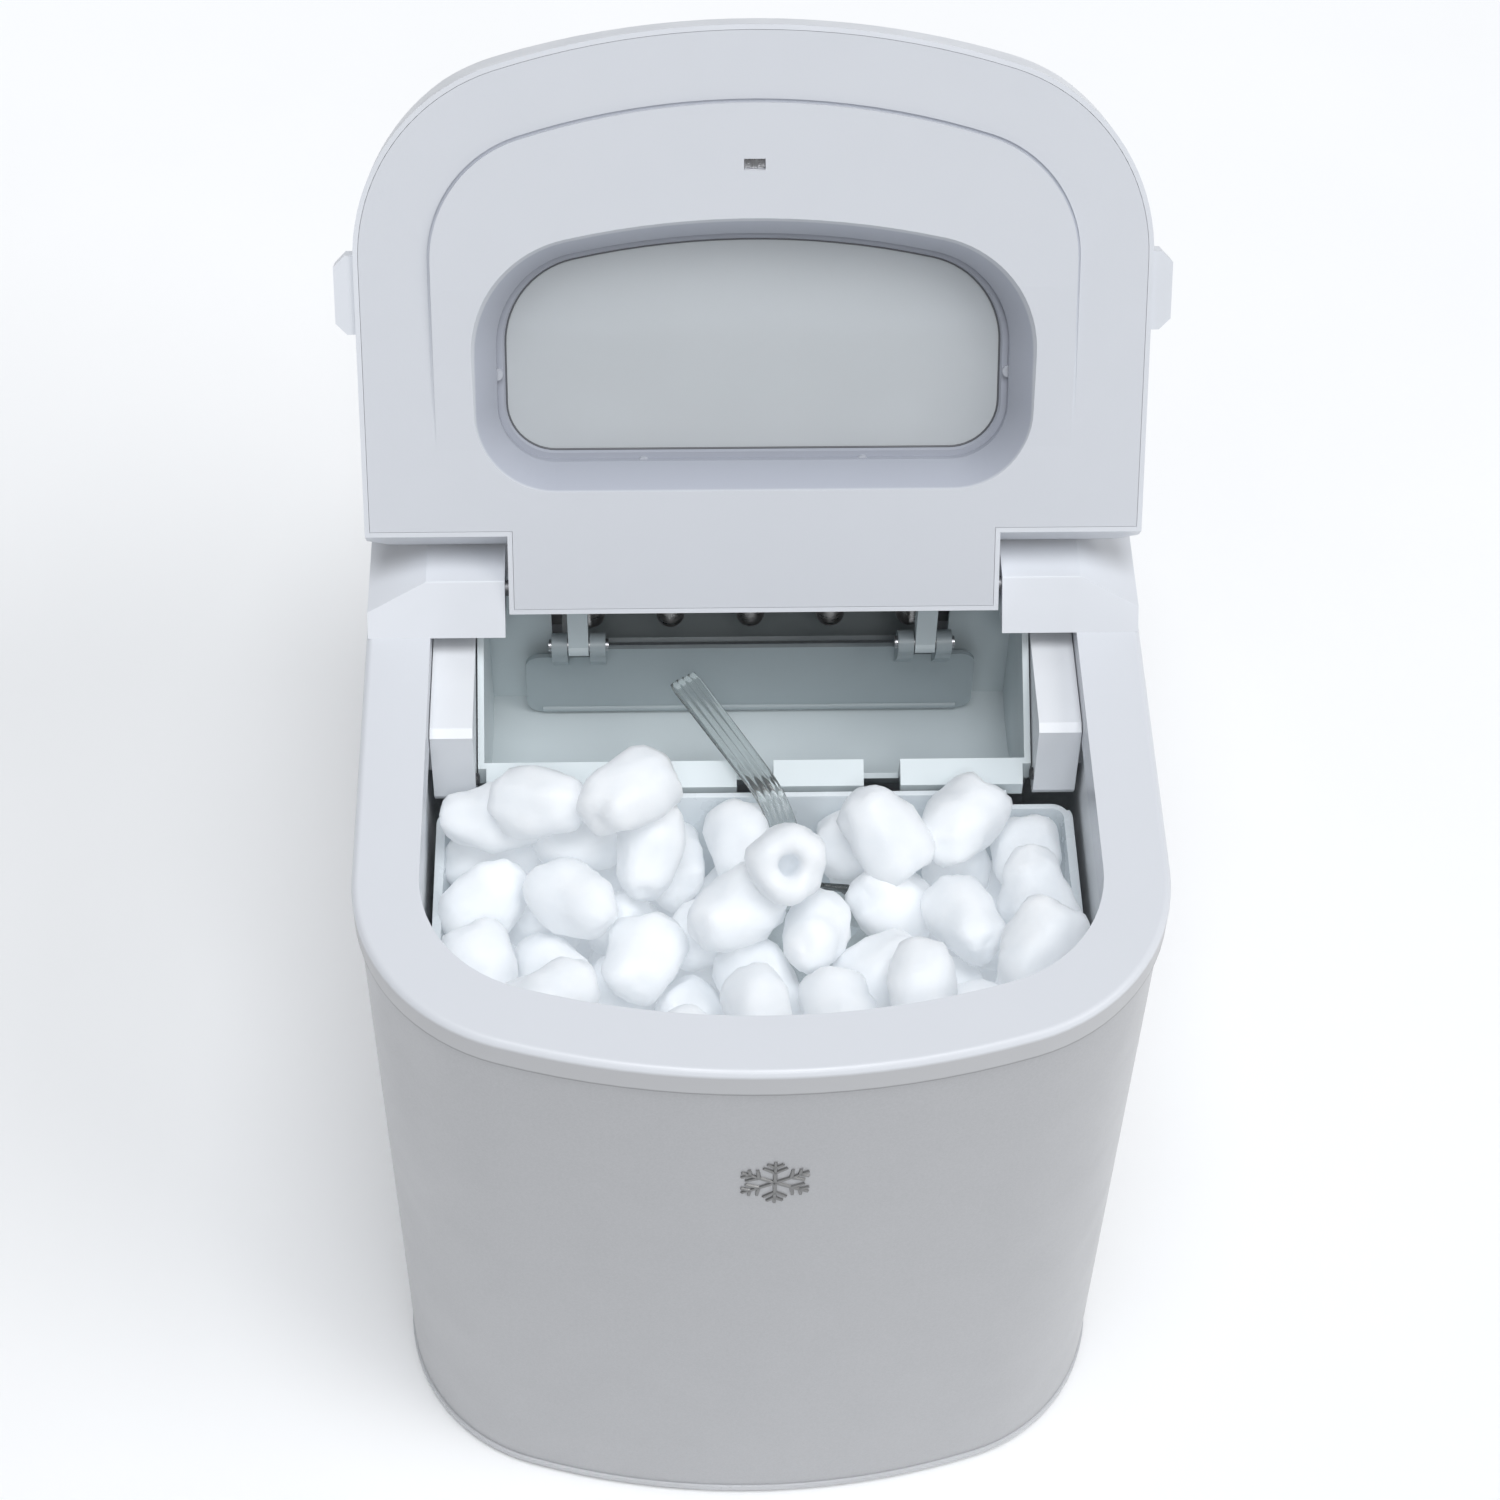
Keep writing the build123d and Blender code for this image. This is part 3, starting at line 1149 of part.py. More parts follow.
def write_parts():
    save("base_pan", make_base_pan())
    save("feet", make_feet())
    save("front_shell", make_front_shell())
    save("side_panel_right", make_side_panel(1))
    save("side_panel_left", make_side_panel(-1))
    save("rear_panel", make_rear_panel())
    save("cord_gland", make_cord_gland())
    save("rear_screws", make_rear_screws())
    save("top_bezel", make_top_bezel())
    save("rear_housing", make_rear_housing())
    save("control_panel", make_control_panel())
    save("power_button", make_button(0))
    save("select_button", make_button(1))
    save("indicator_lenses", make_indicator_lenses())
    save("control_board", make_control_board())
    save("water_tub", make_water_tub())
    save("drain_spout", make_drain_spout())
    save("drain_cap", make_drain_cap())
    save("ice_basket", make_ice_basket())
    save("ice_trough", make_ice_trough())
    save("ice_shovel", make_ice_shovel())
    save("shovel_hangers", make_shovel_hangers())
    save("shovel_pins", make_shovel_pins())
    save("sensor_bracket_right", make_sensor_bracket(1))
    save("sensor_bracket_left", make_sensor_bracket(-1))
    save("ice_sensor_emitter", make_ice_sensor(-1))
    save("ice_sensor_receiver", make_ice_sensor(1))
    save("evaporator_block", make_evaporator_block())
    save("evaporator_fingers", make_evaporator_fingers())
    save("evaporator_insulation", make_evaporator_insulation())
    save("water_tray", make_water_tray())
    save("tray_motor", make_tray_motor())
    save("tray_bearing", make_tray_bearing())
    save("water_level_sensor", make_water_level_sensor())
    save("water_pump", make_water_pump())
    save("pump_hose", make_pump_hose())
    save("compressor", make_compressor())
    save("compressor_grommets", make_compressor_grommets())
    save("condenser_fins", make_condenser_fins())
    save("condenser_tube", make_condenser_tube())
    save("condenser_bracket", make_condenser_bracket())
    save("fan_shroud", make_fan_shroud())
    save("fan_motor", make_fan_motor())
    save("fan_blade", make_fan_blade())
    save("filter_drier", make_filter_drier())
    save("discharge_tube", make_discharge_tube())
    save("liquid_tube", make_liquid_tube())
    save("suction_tube", make_suction_tube())
    save("main_board", make_main_board())
    save("lid_cover", make_lid_cover())
    save("lid_inner_panel", make_lid_inner_panel())
    save("lid_window", make_lid_window())
    save("window_clips", make_window_clips())
    save("lid_magnet", make_lid_magnet())
    save("hinge_pins", make_hinge_pins())


write_parts()
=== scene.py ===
import math

import bmesh
import bpy
import numpy as np
from mathutils import Matrix, Vector, noise
from mathutils.bvhtree import BVHTree


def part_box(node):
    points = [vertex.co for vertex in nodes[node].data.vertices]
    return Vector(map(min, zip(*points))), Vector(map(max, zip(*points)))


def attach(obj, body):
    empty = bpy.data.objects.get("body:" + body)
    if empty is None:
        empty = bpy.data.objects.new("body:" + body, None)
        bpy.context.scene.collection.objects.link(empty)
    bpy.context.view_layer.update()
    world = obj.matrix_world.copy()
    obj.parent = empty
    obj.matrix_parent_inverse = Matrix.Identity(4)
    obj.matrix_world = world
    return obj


MM = 0.001

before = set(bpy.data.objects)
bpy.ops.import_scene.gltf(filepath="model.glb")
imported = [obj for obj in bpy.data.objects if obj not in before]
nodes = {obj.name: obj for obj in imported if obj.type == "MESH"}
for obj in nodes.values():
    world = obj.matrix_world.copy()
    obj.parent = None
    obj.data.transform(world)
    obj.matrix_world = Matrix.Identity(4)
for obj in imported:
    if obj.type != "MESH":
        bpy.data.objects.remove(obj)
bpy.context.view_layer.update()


# ---------------------------------------------------------------- camera, floor and lights

CAMERA_PLACE = (-0.02905, -0.66912, 1.04071)
CAMERA_PITCH = math.radians(51.769)
CAMERA_YAW = math.radians(2.508)
CAMERA_ROLL = math.radians(1.387)
CAMERA_LENS = 77.54
FLOOR_HALF = 30.0


def facing(pitch, yaw, roll):
    forward = Vector((math.sin(yaw) * math.cos(pitch), math.cos(yaw) * math.cos(pitch), -math.sin(pitch)))
    level = Vector((math.cos(yaw), -math.sin(yaw), 0))
    upright = level.cross(forward)
    right = level * math.cos(roll) + upright * math.sin(roll)
    up = upright * math.cos(roll) - level * math.sin(roll)
    return Matrix((right, up, -forward)).transposed().to_4x4()


def make_camera():
    data = bpy.data.cameras.new("camera")
    data.lens = CAMERA_LENS
    data.sensor_width = 36
    data.clip_start = 0.01
    data.clip_end = 50
    camera = bpy.data.objects.new("camera", data)
    camera.matrix_world = Matrix.Translation(CAMERA_PLACE) @ facing(CAMERA_PITCH, CAMERA_YAW, CAMERA_ROLL)
    bpy.context.scene.collection.objects.link(camera)
    bpy.context.scene.camera = camera


def make_floor():
    half = FLOOR_HALF
    mesh = bpy.data.meshes.new("floor")
    corners = [(-half, -half, 0), (half, -half, 0), (half, half, 0), (-half, half, 0)]
    mesh.from_pydata(corners, [], [(0, 1, 2, 3)])
    floor = bpy.data.objects.new("floor", mesh)
    bpy.context.scene.collection.objects.link(floor)
    mesh.materials.append(plain_surface("floor_paper", (0.96, 0.965, 0.97), 0.75))


def soft_sun(name, place, width, strength, colour):
    """A sun as wide as the given angle in degrees, shining from the given place towards the object."""
    data = bpy.data.lights.new(name, "SUN")
    data.angle = math.radians(width)
    data.energy = strength
    data.color = colour
    light = bpy.data.objects.new(name, data)
    light.matrix_world = (-Vector(place)).to_track_quat("-Z", "Y").to_matrix().to_4x4()
    bpy.context.scene.collection.objects.link(light)


def make_lights():
    soft_sun("key_light", (1.25, -0.55, 1.25), 32, 0.85, (1, 0.99, 0.98))
    soft_sun("top_light", (0.05, -0.45, 2.1), 32, 1.72, (0.95, 0.97, 1))
    soft_sun("fill_light", (0.02, -0.92, 1.0), 12, 0.42, (0.98, 0.99, 1))
    world = bpy.data.worlds.new("studio")
    world.use_nodes = True
    background = world.node_tree.nodes["Background"]
    background.inputs["Color"].default_value = (0.96, 0.975, 1.0, 1)
    background.inputs["Strength"].default_value = 0.24
    bpy.context.scene.world = world
    bpy.context.scene.view_settings.view_transform = "Standard"


# ---------------------------------------------------------------- materials


class Surface:
    """A Principled material whose colour, roughness and relief come from noise in the object's own space."""

    def __init__(self, name):
        self.material = bpy.data.materials.new(name)
        self.material.use_nodes = True
        self.tree = self.material.node_tree
        self.shader = self.tree.nodes["Principled BSDF"]
        self.place = self.tree.nodes.new("ShaderNodeTexCoord").outputs["Object"]
        self.normal = None

    def set(self, **sockets):
        for key, value in sockets.items():
            socket = self.shader.inputs[key.replace("_", " ")]
            socket.default_value = value
        return self

    def stretched(self, x, y, z):
        mapping = self.tree.nodes.new("ShaderNodeMapping")
        mapping.inputs["Scale"].default_value = (x, y, z)
        self.tree.links.new(self.place, mapping.inputs["Vector"])
        return mapping.outputs["Vector"]

    def along(self, way, origin):
        """How far a point lies from the origin along a way, in metres."""
        offset = self.tree.nodes.new("ShaderNodeVectorMath")
        offset.operation = "SUBTRACT"
        offset.inputs[1].default_value = origin
        self.tree.links.new(self.place, offset.inputs[0])
        dot = self.tree.nodes.new("ShaderNodeVectorMath")
        dot.operation = "DOT_PRODUCT"
        dot.inputs[1].default_value = way
        self.tree.links.new(offset.outputs["Vector"], dot.inputs[0])
        return dot.outputs["Value"]

    def noise(self, size, detail=2.0, place=None, rough=0.5):
        node = self.tree.nodes.new("ShaderNodeTexNoise")
        node.inputs["Scale"].default_value = 1 / (size * MM)
        node.inputs["Detail"].default_value = detail
        node.inputs["Roughness"].default_value = rough
        self.tree.links.new(place or self.place, node.inputs["Vector"])
        return node.outputs["Fac"]

    def cells(self, size, output="Distance"):
        node = self.tree.nodes.new("ShaderNodeTexVoronoi")
        node.inputs["Scale"].default_value = 1 / (size * MM)
        self.tree.links.new(self.place, node.inputs["Vector"])
        return node.outputs[output]

    def spread(self, value, low, high, to_low=0.0, to_high=1.0):
        """The value, mapped from low and high to the other two, and held between them."""
        node = self.tree.nodes.new("ShaderNodeMapRange")
        node.inputs["From Min"].default_value = low
        node.inputs["From Max"].default_value = high
        node.inputs["To Min"].default_value = to_low
        node.inputs["To Max"].default_value = to_high
        self.tree.links.new(value, node.inputs["Value"])
        return node.outputs["Result"]

    def colour(self, fac, *stops):
        ramp = self.tree.nodes.new("ShaderNodeValToRGB")
        elements = ramp.color_ramp.elements
        while len(elements) < len(stops):
            elements.new(0.5)
        for element, (at, value) in zip(elements, stops):
            element.position = at
            element.color = (*value, 1)
        self.tree.links.new(fac, ramp.inputs["Fac"])
        self.tree.links.new(ramp.outputs["Color"], self.shader.inputs["Base Color"])
        return self

    def roughness(self, fac, low, high):
        self.tree.links.new(self.spread(fac, 0.3, 0.7, low, high), self.shader.inputs["Roughness"])
        return self

    def relief(self, fac, depth, strength=1.0):
        bump = self.tree.nodes.new("ShaderNodeBump")
        bump.inputs["Distance"].default_value = depth * MM
        bump.inputs["Strength"].default_value = strength
        self.tree.links.new(fac, bump.inputs["Height"])
        if self.normal is not None:
            self.tree.links.new(self.normal, bump.inputs["Normal"])
        self.normal = bump.outputs["Normal"]
        self.tree.links.new(self.normal, self.shader.inputs["Normal"])
        return self


def shade(colour, factor):
    return tuple(c * factor for c in colour)


def plain_surface(name, colour, rough):
    surface = Surface(name).set(Roughness=rough)
    surface.colour(surface.noise(180, 3), (0.35, shade(colour, 0.985)), (0.65, colour))
    return surface.material


def moulded_finish(surface, rough, grain=0.9, depth=0.012):
    """A faint spark-eroded grain, slow sink marks and a slightly uneven sheen."""
    surface.roughness(surface.noise(14, 4), rough - 0.05, rough + 0.06)
    surface.relief(surface.noise(38, 1), 0.25, 0.12)
    surface.relief(surface.noise(grain, 3), depth)
    return surface.material


def moulded(name, colour, rough, grain=0.9, depth=0.012, spread=0.03, **sockets):
    """Injection-moulded plastic in one colour."""
    surface = Surface(name).set(IOR=1.5, **sockets)
    light = tuple(min(1, c * (1 + spread)) for c in colour)
    surface.colour(surface.noise(55, 3), (0.36, shade(colour, 1 - spread)), (0.64, light))
    return moulded_finish(surface, rough, grain, depth)


LID_NORMAL = (0, 0.8616, -0.5075)
LID_ORIGIN = (0, -0.0131, 0.2763)


def lid_panel_painted_shade(name, colour):
    """The lid's inner panel: moulded plastic with painted shade, turning greyer and bluer down the walls of
    the window's recess.
    """
    surface = Surface(name).set(IOR=1.5)
    # painted shade: the colour darkens and turns bluish with depth into the window's recess, where shade
    # falls
    depth = surface.spread(surface.along(LID_NORMAL, LID_ORIGIN), 0.5 * MM, 15 * MM)
    bluish_shade = tuple(c * tint for c, tint in zip(colour, (0.97, 0.99, 1.06)))
    surface.colour(depth, (0.0, colour), (0.06, shade(bluish_shade, 0.74)), (0.9, shade(bluish_shade, 0.60)))
    return moulded_finish(surface, 0.34)


def rim_plastic(name, colour, band_colour, centre, top, bottom):
    """The white rim, whose outer edge between two heights is a silver band, its lowest strip darkened as a
    painted shadow where the band meets the shell.
    """
    surface = Surface(name).set(IOR=1.5)
    offset = surface.tree.nodes.new("ShaderNodeVectorMath")
    offset.operation = "SUBTRACT"
    offset.inputs[1].default_value = centre
    surface.tree.links.new(surface.place, offset.inputs[0])
    outward = surface.tree.nodes.new("ShaderNodeVectorMath")
    outward.operation = "DOT_PRODUCT"
    surface.tree.links.new(offset.outputs["Vector"], outward.inputs[0])
    surface.tree.links.new(surface.tree.nodes.new("ShaderNodeTexCoord").outputs["Normal"], outward.inputs[1])
    outside = surface.spread(outward.outputs["Value"], 0.02, 0.04)
    down = surface.spread(surface.along((0, 0, -1), (0, 0, top)), 0, top - bottom)
    both = surface.tree.nodes.new("ShaderNodeMath")
    both.operation = "MULTIPLY"
    surface.tree.links.new(outside, both.inputs[0])
    surface.tree.links.new(down, both.inputs[1])
    # painted shadow: the bottom of the silver band is darkened where shade falls in the gap above the shell
    gap_shadow = shade(band_colour, 0.55)
    stops = ((0.12, colour), (0.24, band_colour), (0.90, band_colour), (0.95, gap_shadow))
    surface.colour(both.outputs["Value"], *stops)
    return moulded_finish(surface, 0.33)


def painted_shell(name, colour):
    """Sheet metal under a light silver paint: fine flake, a soft orange peel and a clear top coat."""
    surface = Surface(name).set(Metallic=0.22, IOR=1.5, Coat_Weight=0.25, Coat_Roughness=0.16)
    surface.colour(surface.cells(0.55, "Color"), (0.1, shade(colour, 0.965)), (0.9, shade(colour, 1.03)))
    surface.roughness(surface.noise(22, 3), 0.34, 0.42)
    surface.relief(surface.noise(60, 1), 0.3, 0.15)
    surface.relief(surface.noise(1.7, 2), 0.014)
    return surface.material


def drawn_metal(name, colour, rough, stretch=(1, 1, 14), grain=0.8, depth=0.01, **sockets):
    """Drawn, rolled or plated metal with fine lines along one way."""
    surface = Surface(name).set(Metallic=1.0, **sockets)
    lines = surface.noise(grain * 8, 4, surface.stretched(*stretch))
    surface.colour(surface.noise(11, 4), (0.35, shade(colour, 0.86)), (0.65, colour))
    surface.roughness(lines, rough - 0.06, rough + 0.1)
    surface.relief(lines, depth)
    return surface.material


def soft_rubber(name, colour):
    surface = Surface(name).set(IOR=1.5)
    surface.colour(surface.noise(9, 5), (0.3, shade(colour, 0.8)), (0.7, shade(colour, 1.5)))
    surface.roughness(surface.noise(3, 3), 0.55, 0.72)
    surface.relief(surface.noise(0.6, 2), 0.03)
    return surface.material


def smoked_glass(name):
    surface = Surface(name).set(IOR=1.49, Transmission_Weight=0.38)
    surface.colour(surface.noise(90, 2), (0.35, (0.73, 0.765, 0.79)), (0.65, (0.77, 0.805, 0.83)))
    surface.roughness(surface.noise(35, 4), 0.16, 0.26)
    surface.relief(surface.noise(45, 1), 0.2, 0.2)
    return surface.material


def clear_plastic(name):
    surface = Surface(name).set(IOR=1.4, Transmission_Weight=0.93)
    surface.colour(surface.noise(20, 2), (0.35, (0.74, 0.78, 0.78)), (0.65, (0.80, 0.84, 0.84)))
    surface.roughness(surface.noise(7, 3), 0.1, 0.2)
    surface.relief(surface.noise(3, 2), 0.03)
    return surface.material


def cloudy_ice(name):
    """Ice frozen fast from outside in: milky with trapped air, glassier where it has begun to melt, and
    faintly glowing as painted light.
    """
    surface = Surface(name).set(
        IOR=1.31,
        Transmission_Weight=0.12,
        Subsurface_Weight=0.4,
        Subsurface_Radius=(0.95, 0.98, 1.0),
        Subsurface_Scale=0.006,
        # painted light: a faint bluish-white emission lifts the shade between the bullets, standing in for
        # light scattered through the pile
        Emission_Color=(0.90, 0.95, 1.0, 1),
        Emission_Strength=0.14,
    )
    surface.colour(surface.noise(15, 3), (0.32, (0.75, 0.775, 0.80)), (0.68, (0.82, 0.835, 0.85)))
    surface.roughness(surface.noise(5, 4), 0.3, 0.6)
    surface.relief(surface.noise(9, 2), 0.9, 0.3)
    surface.relief(surface.noise(1.8, 3), 0.12, 0.6)
    return surface.material


def circuit_board(name):
    """Solder mask with darker copper runs beneath it."""
    surface = Surface(name).set(IOR=1.5, Coat_Weight=0.4, Coat_Roughness=0.1)
    surface.colour(surface.cells(3.2), (0.22, (0.015, 0.10, 0.045)), (0.28, (0.025, 0.16, 0.07)))
    surface.roughness(surface.noise(4, 3), 0.28, 0.42)
    surface.relief(surface.cells(3.2), 0.04)
    return surface.material


def foam(name):
    surface = Surface(name).set()
    surface.colour(surface.cells(1.6), (0.1, (0.03, 0.03, 0.03)), (0.6, (0.075, 0.075, 0.075)))
    surface.roughness(surface.noise(4, 3), 0.8, 0.95)
    surface.relief(surface.cells(1.6), 0.4)
    return surface.material


WHITE = (0.70, 0.722, 0.762)
RIM_SILVER = (0.50, 0.505, 0.52)
CABINET_MIDDLE = (0, -0.06, 0.25)


def make_slot_materials():
    return {
        "white_plastic": moulded("white_plastic", WHITE, 0.33),
        "silver_shell": painted_shell("silver_shell", (0.435, 0.44, 0.455)),
        "liner_plastic": moulded("liner_plastic", (0.63, 0.69, 0.71), 0.36),
        "grey_plastic": moulded("grey_plastic", (0.37, 0.42, 0.44), 0.36),
        "dark_plastic": moulded("dark_plastic", (0.035, 0.036, 0.04), 0.42, spread=0.12),
        "smoked_window": smoked_glass("smoked_window"),
        "basket_plastic": moulded(
            "basket_plastic",
            (0.74, 0.79, 0.82),
            0.28,
            Subsurface_Weight=0.2,
            Subsurface_Radius=(1.0, 1.0, 1.0),
            Subsurface_Scale=0.004,
        ),
        "button_plastic": moulded("button_plastic", (0.55, 0.56, 0.58), 0.32),
        "lens_plastic": moulded("lens_plastic", (0.15, 0.50, 0.24), 0.16, Transmission_Weight=0.3),
        "nickel_plate": drawn_metal("nickel_plate", (0.68, 0.62, 0.60), 0.28),
        "aluminium": drawn_metal("aluminium", (0.70, 0.71, 0.72), 0.34),
        "copper_tube": drawn_metal("copper_tube", (0.76, 0.40, 0.25), 0.27, (3, 3, 3)),
        "compressor_paint": moulded(
            "compressor_paint", (0.02, 0.02, 0.022), 0.34, 2.5, 0.05, 0.2, Coat_Weight=0.3
        ),
        "steel": drawn_metal("steel", (0.52, 0.52, 0.53), 0.3, (14, 1, 1)),
        "rubber_black": soft_rubber("rubber_black", (0.022, 0.022, 0.023)),
        "hose_rubber": moulded("hose_rubber", (0.60, 0.63, 0.63), 0.3, Transmission_Weight=0.35),
        "board_green": circuit_board("board_green"),
        "insulation_foam": foam("insulation_foam"),
    }


def dress_nodes(materials):
    for node in nodes.values():
        for slot in node.material_slots:
            if slot.material is not None and slot.material.name.split(".")[0] in materials:
                slot.material = materials[slot.material.name.split(".")[0]]


def dress_special_nodes():
    """Nodes whose finish differs from the rest of their slot."""
    rim_top, shell_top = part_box("top_bezel")[1][2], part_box("front_shell")[1][2]
    # painted light: the sensor brackets get a lightened copy of the white plastic, brightening faces that
    # light barely reaches
    bracket_plastic_painted_light = moulded("bracket_plastic_painted_light", (0.78, 0.80, 0.83), 0.34)
    special = {
        "lid_inner_panel": lid_panel_painted_shade("lid_panel_painted_shade", (0.64, 0.66, 0.70)),
        "top_bezel": rim_plastic("rim_plastic", WHITE, RIM_SILVER, CABINET_MIDDLE, rim_top, shell_top),
        # painted light: the tub is a lightened copy of the liner plastic, standing in for light the deep
        # chamber does not get
        "water_tub": moulded("tub_plastic_painted_light", (0.86, 0.88, 0.90), 0.34),
        "sensor_bracket_left": bracket_plastic_painted_light,
        "sensor_bracket_right": bracket_plastic_painted_light,
        # painted shade: the window clips get a darker bluish copy of the panel plastic, matching the shade
        # painted in the recess
        "window_clips": moulded("clip_plastic_painted_shade", (0.46, 0.48, 0.52), 0.34),
        "hinge_pins": drawn_metal("pin_steel", (0.25, 0.25, 0.26), 0.45, (14, 1, 1)),
    }
    for name, material in special.items():
        nodes[name].material_slots[0].material = material


# ---------------------------------------------------------------- mesh helpers


def new_piece(name, vertices, faces, material, body, smooth=True):
    mesh = bpy.data.meshes.new(name)
    mesh.from_pydata([tuple(v) for v in vertices], [], faces)
    mesh.materials.append(material)
    mesh.polygons.foreach_set("use_smooth", [smooth] * len(mesh.polygons))
    mesh.update()
    piece = bpy.data.objects.new(name, mesh)
    bpy.context.scene.collection.objects.link(piece)
    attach(piece, body)
    return piece


def apply_modifiers(piece):
    piece.data = bpy.data.meshes.new_from_object(piece.evaluated_get(bpy.context.evaluated_depsgraph_get()))
    piece.modifiers.clear()


# ---------------------------------------------------------------- ice

ICE_RADIUS = 12.0
ICE_HALF_STEM = 3.6
ICE_COUNT = 122
ICE_HOLE_RADIUS = 3.9
ICE_HOLE_DEPTH = 17.0
ICE_STEPS = 520
ICE_SINK = 5.0
SETTLE_SEED = 11
SHAPE_SEED = 5
ICE_SEGMENTS = 28
# A bullet laid on top with its hole in sight, as its place seen from above and the way its base faces
OPEN_TOPPER = ((8, -94), (0.05, -0.62, 0.78))
# The way up and to the front. Only the open topper turns its hole this way.
ICE_MOUTH = np.array((0.0, -0.6, 0.8))
ICE_LUMPS = ((0.07, 0.20), (0.15, 0.13), (0.36, 0.035))
WALL_X = 98.0
WALL_FRONT_Y = -156.0
WALL_REAR_Y = -55.0
WALL_TURN_Y = -108.0
WALL_TOP_Z = 235.0
WALL_BOTTOM_Z = 130.5
WALL_DRAFT = 7.0
WALL_CORNER_X = 59.0


def keep_in_basket(p, reach):
    """Moves the sphere centres p back inside the basket's walls, which lean in towards its floor."""
    lean = WALL_DRAFT * np.clip((WALL_TOP_Z - p[:, 2]) / (WALL_TOP_Z - WALL_BOTTOM_Z), 0, 1)
    half = WALL_X - lean
    corner = half - WALL_CORNER_X
    front = WALL_FRONT_Y + lean
    depth = WALL_TURN_Y - front
    bow = (WALL_CORNER_X**2 + depth**2 - corner**2) / (2 * (depth - corner))
    bow_y = front + bow
    side = np.sign(p[:, 0])
    p[:, 0] = np.clip(p[:, 0], reach - half, half - reach)
    p[:, 1] = np.minimum(p[:, 1], WALL_REAR_Y - reach)
    ahead = p[:, 1] < WALL_TURN_Y
    dx, dy = np.abs(p[:, 0]) - WALL_CORNER_X, p[:, 1] - WALL_TURN_Y
    in_corner = ahead & (dx * (bow_y - WALL_TURN_Y) > -dy * WALL_CORNER_X)
    far = np.hypot(dx, dy)
    pull = np.where(in_corner & (far > corner - reach), (corner - reach) / np.maximum(far, 1e-6), 1)
    p[:, 0] = np.where(in_corner, side * (WALL_CORNER_X + dx * pull), p[:, 0])
    p[:, 1] = np.where(in_corner, WALL_TURN_Y + dy * pull, p[:, 1])
    gap = np.hypot(p[:, 0], p[:, 1] - bow_y)
    pull = np.where(ahead & ~in_corner & (gap > bow - reach), (bow - reach) / np.maximum(gap, 1e-6), 1)
    p[:, 0] *= pull
    p[:, 1] = bow_y + (p[:, 1] - bow_y) * pull
    p[:, 2] = np.maximum(p[:, 2], WALL_BOTTOM_Z + reach)


def settle_ice(obstacles):
    """Lets bullets, each two joined spheres, sink and jostle until they rest on each other. Millimetres."""
    rng = np.random.default_rng(SETTLE_SEED)
    columns, rows = 7, 3
    centres = []
    for i in range(ICE_COUNT):
        layer, place = divmod(i, columns * rows)
        row, column = divmod(place, columns)
        x = (column - 3) * 25.5 + 4 * (row % 2)
        centres.append((x, -136 + 33 * row, WALL_BOTTOM_Z + 16 + 27 * layer))
    centres = np.array(centres) + rng.uniform(-4, 4, (ICE_COUNT, 3))
    ways = rng.normal(size=(ICE_COUNT, 3))
    ways /= np.linalg.norm(ways, axis=1)[:, None]
    p = np.concatenate([centres - ways * ICE_HALF_STEM, centres + ways * ICE_HALF_STEM])
    other = np.concatenate([np.arange(ICE_COUNT) + ICE_COUNT, np.arange(ICE_COUNT)])
    rows_index = np.arange(2 * ICE_COUNT)
    for step in range(ICE_STEPS):
        p[:, 2] -= 1.1 * (1 - step / ICE_STEPS) + 0.05
        if step < ICE_STEPS * 0.6:
            p[:, :2] += rng.uniform(-0.5, 0.5, (2 * ICE_COUNT, 2))
        for _ in range(3):
            apart = p[:, None] - p[None]
            gap = np.linalg.norm(apart, axis=2)
            gap[rows_index, rows_index] = 1e9
            gap[rows_index, other] = 1e9
            push = np.clip(2 * ICE_RADIUS - gap, 0, None) / np.maximum(gap, 1e-6)
            p += 0.5 * (apart * push[:, :, None]).sum(1) * 0.7
            for centre, radius in obstacles:
                away = p - np.array(centre)
                gap = np.linalg.norm(away, axis=1)
                p += away * (np.clip(radius + ICE_RADIUS - gap, 0, None) / np.maximum(gap, 1e-6))[:, None]
            middle = (p + p[other]) / 2
            stem = p - middle
            p = middle + stem * (ICE_HALF_STEM / np.maximum(np.linalg.norm(stem, axis=1), 1e-6))[:, None]
            keep_in_basket(p, ICE_RADIUS)
    return p[:ICE_COUNT], p[ICE_COUNT:]


def drop_on(spheres, x, y):
    """The height at which a sphere over (x, y) first rests on the spheres given."""
    flat = np.hypot(spheres[:, 0] - x, spheres[:, 1] - y)
    near = flat < 2 * ICE_RADIUS
    return float((spheres[near, 2] + np.sqrt((2 * ICE_RADIUS) ** 2 - flat[near] ** 2)).max())


def bullet_profile():
    """Radius and height pairs from the finger's hole, out over the base's rim and up to the round tip."""
    base, tip = -ICE_RADIUS - ICE_HALF_STEM, ICE_RADIUS + ICE_HALF_STEM
    hole_top = base + ICE_HOLE_DEPTH
    points = [(0, hole_top), (2.0, hole_top - 0.7), (3.2, hole_top - 3.0), (ICE_HOLE_RADIUS - 0.3, base + 6)]
    points += [(ICE_HOLE_RADIUS, base + 2.8), (4.8, base + 1.0), (6.6, base), (9.0, base + 0.8)]
    points += [(10.8, base + 3.2), (11.6, base + 7.0), (11.7, base + 11.5), (11.3, base + 15.5)]
    points.append((10.5, base + 19.0))
    for turn in (0.15, 0.42, 0.7, 0.95, 1.2, 1.4):
        points.append((9.8 * math.cos(turn), tip - 9.6 + 9.6 * math.sin(turn)))
    points.append((0, tip))
    return points


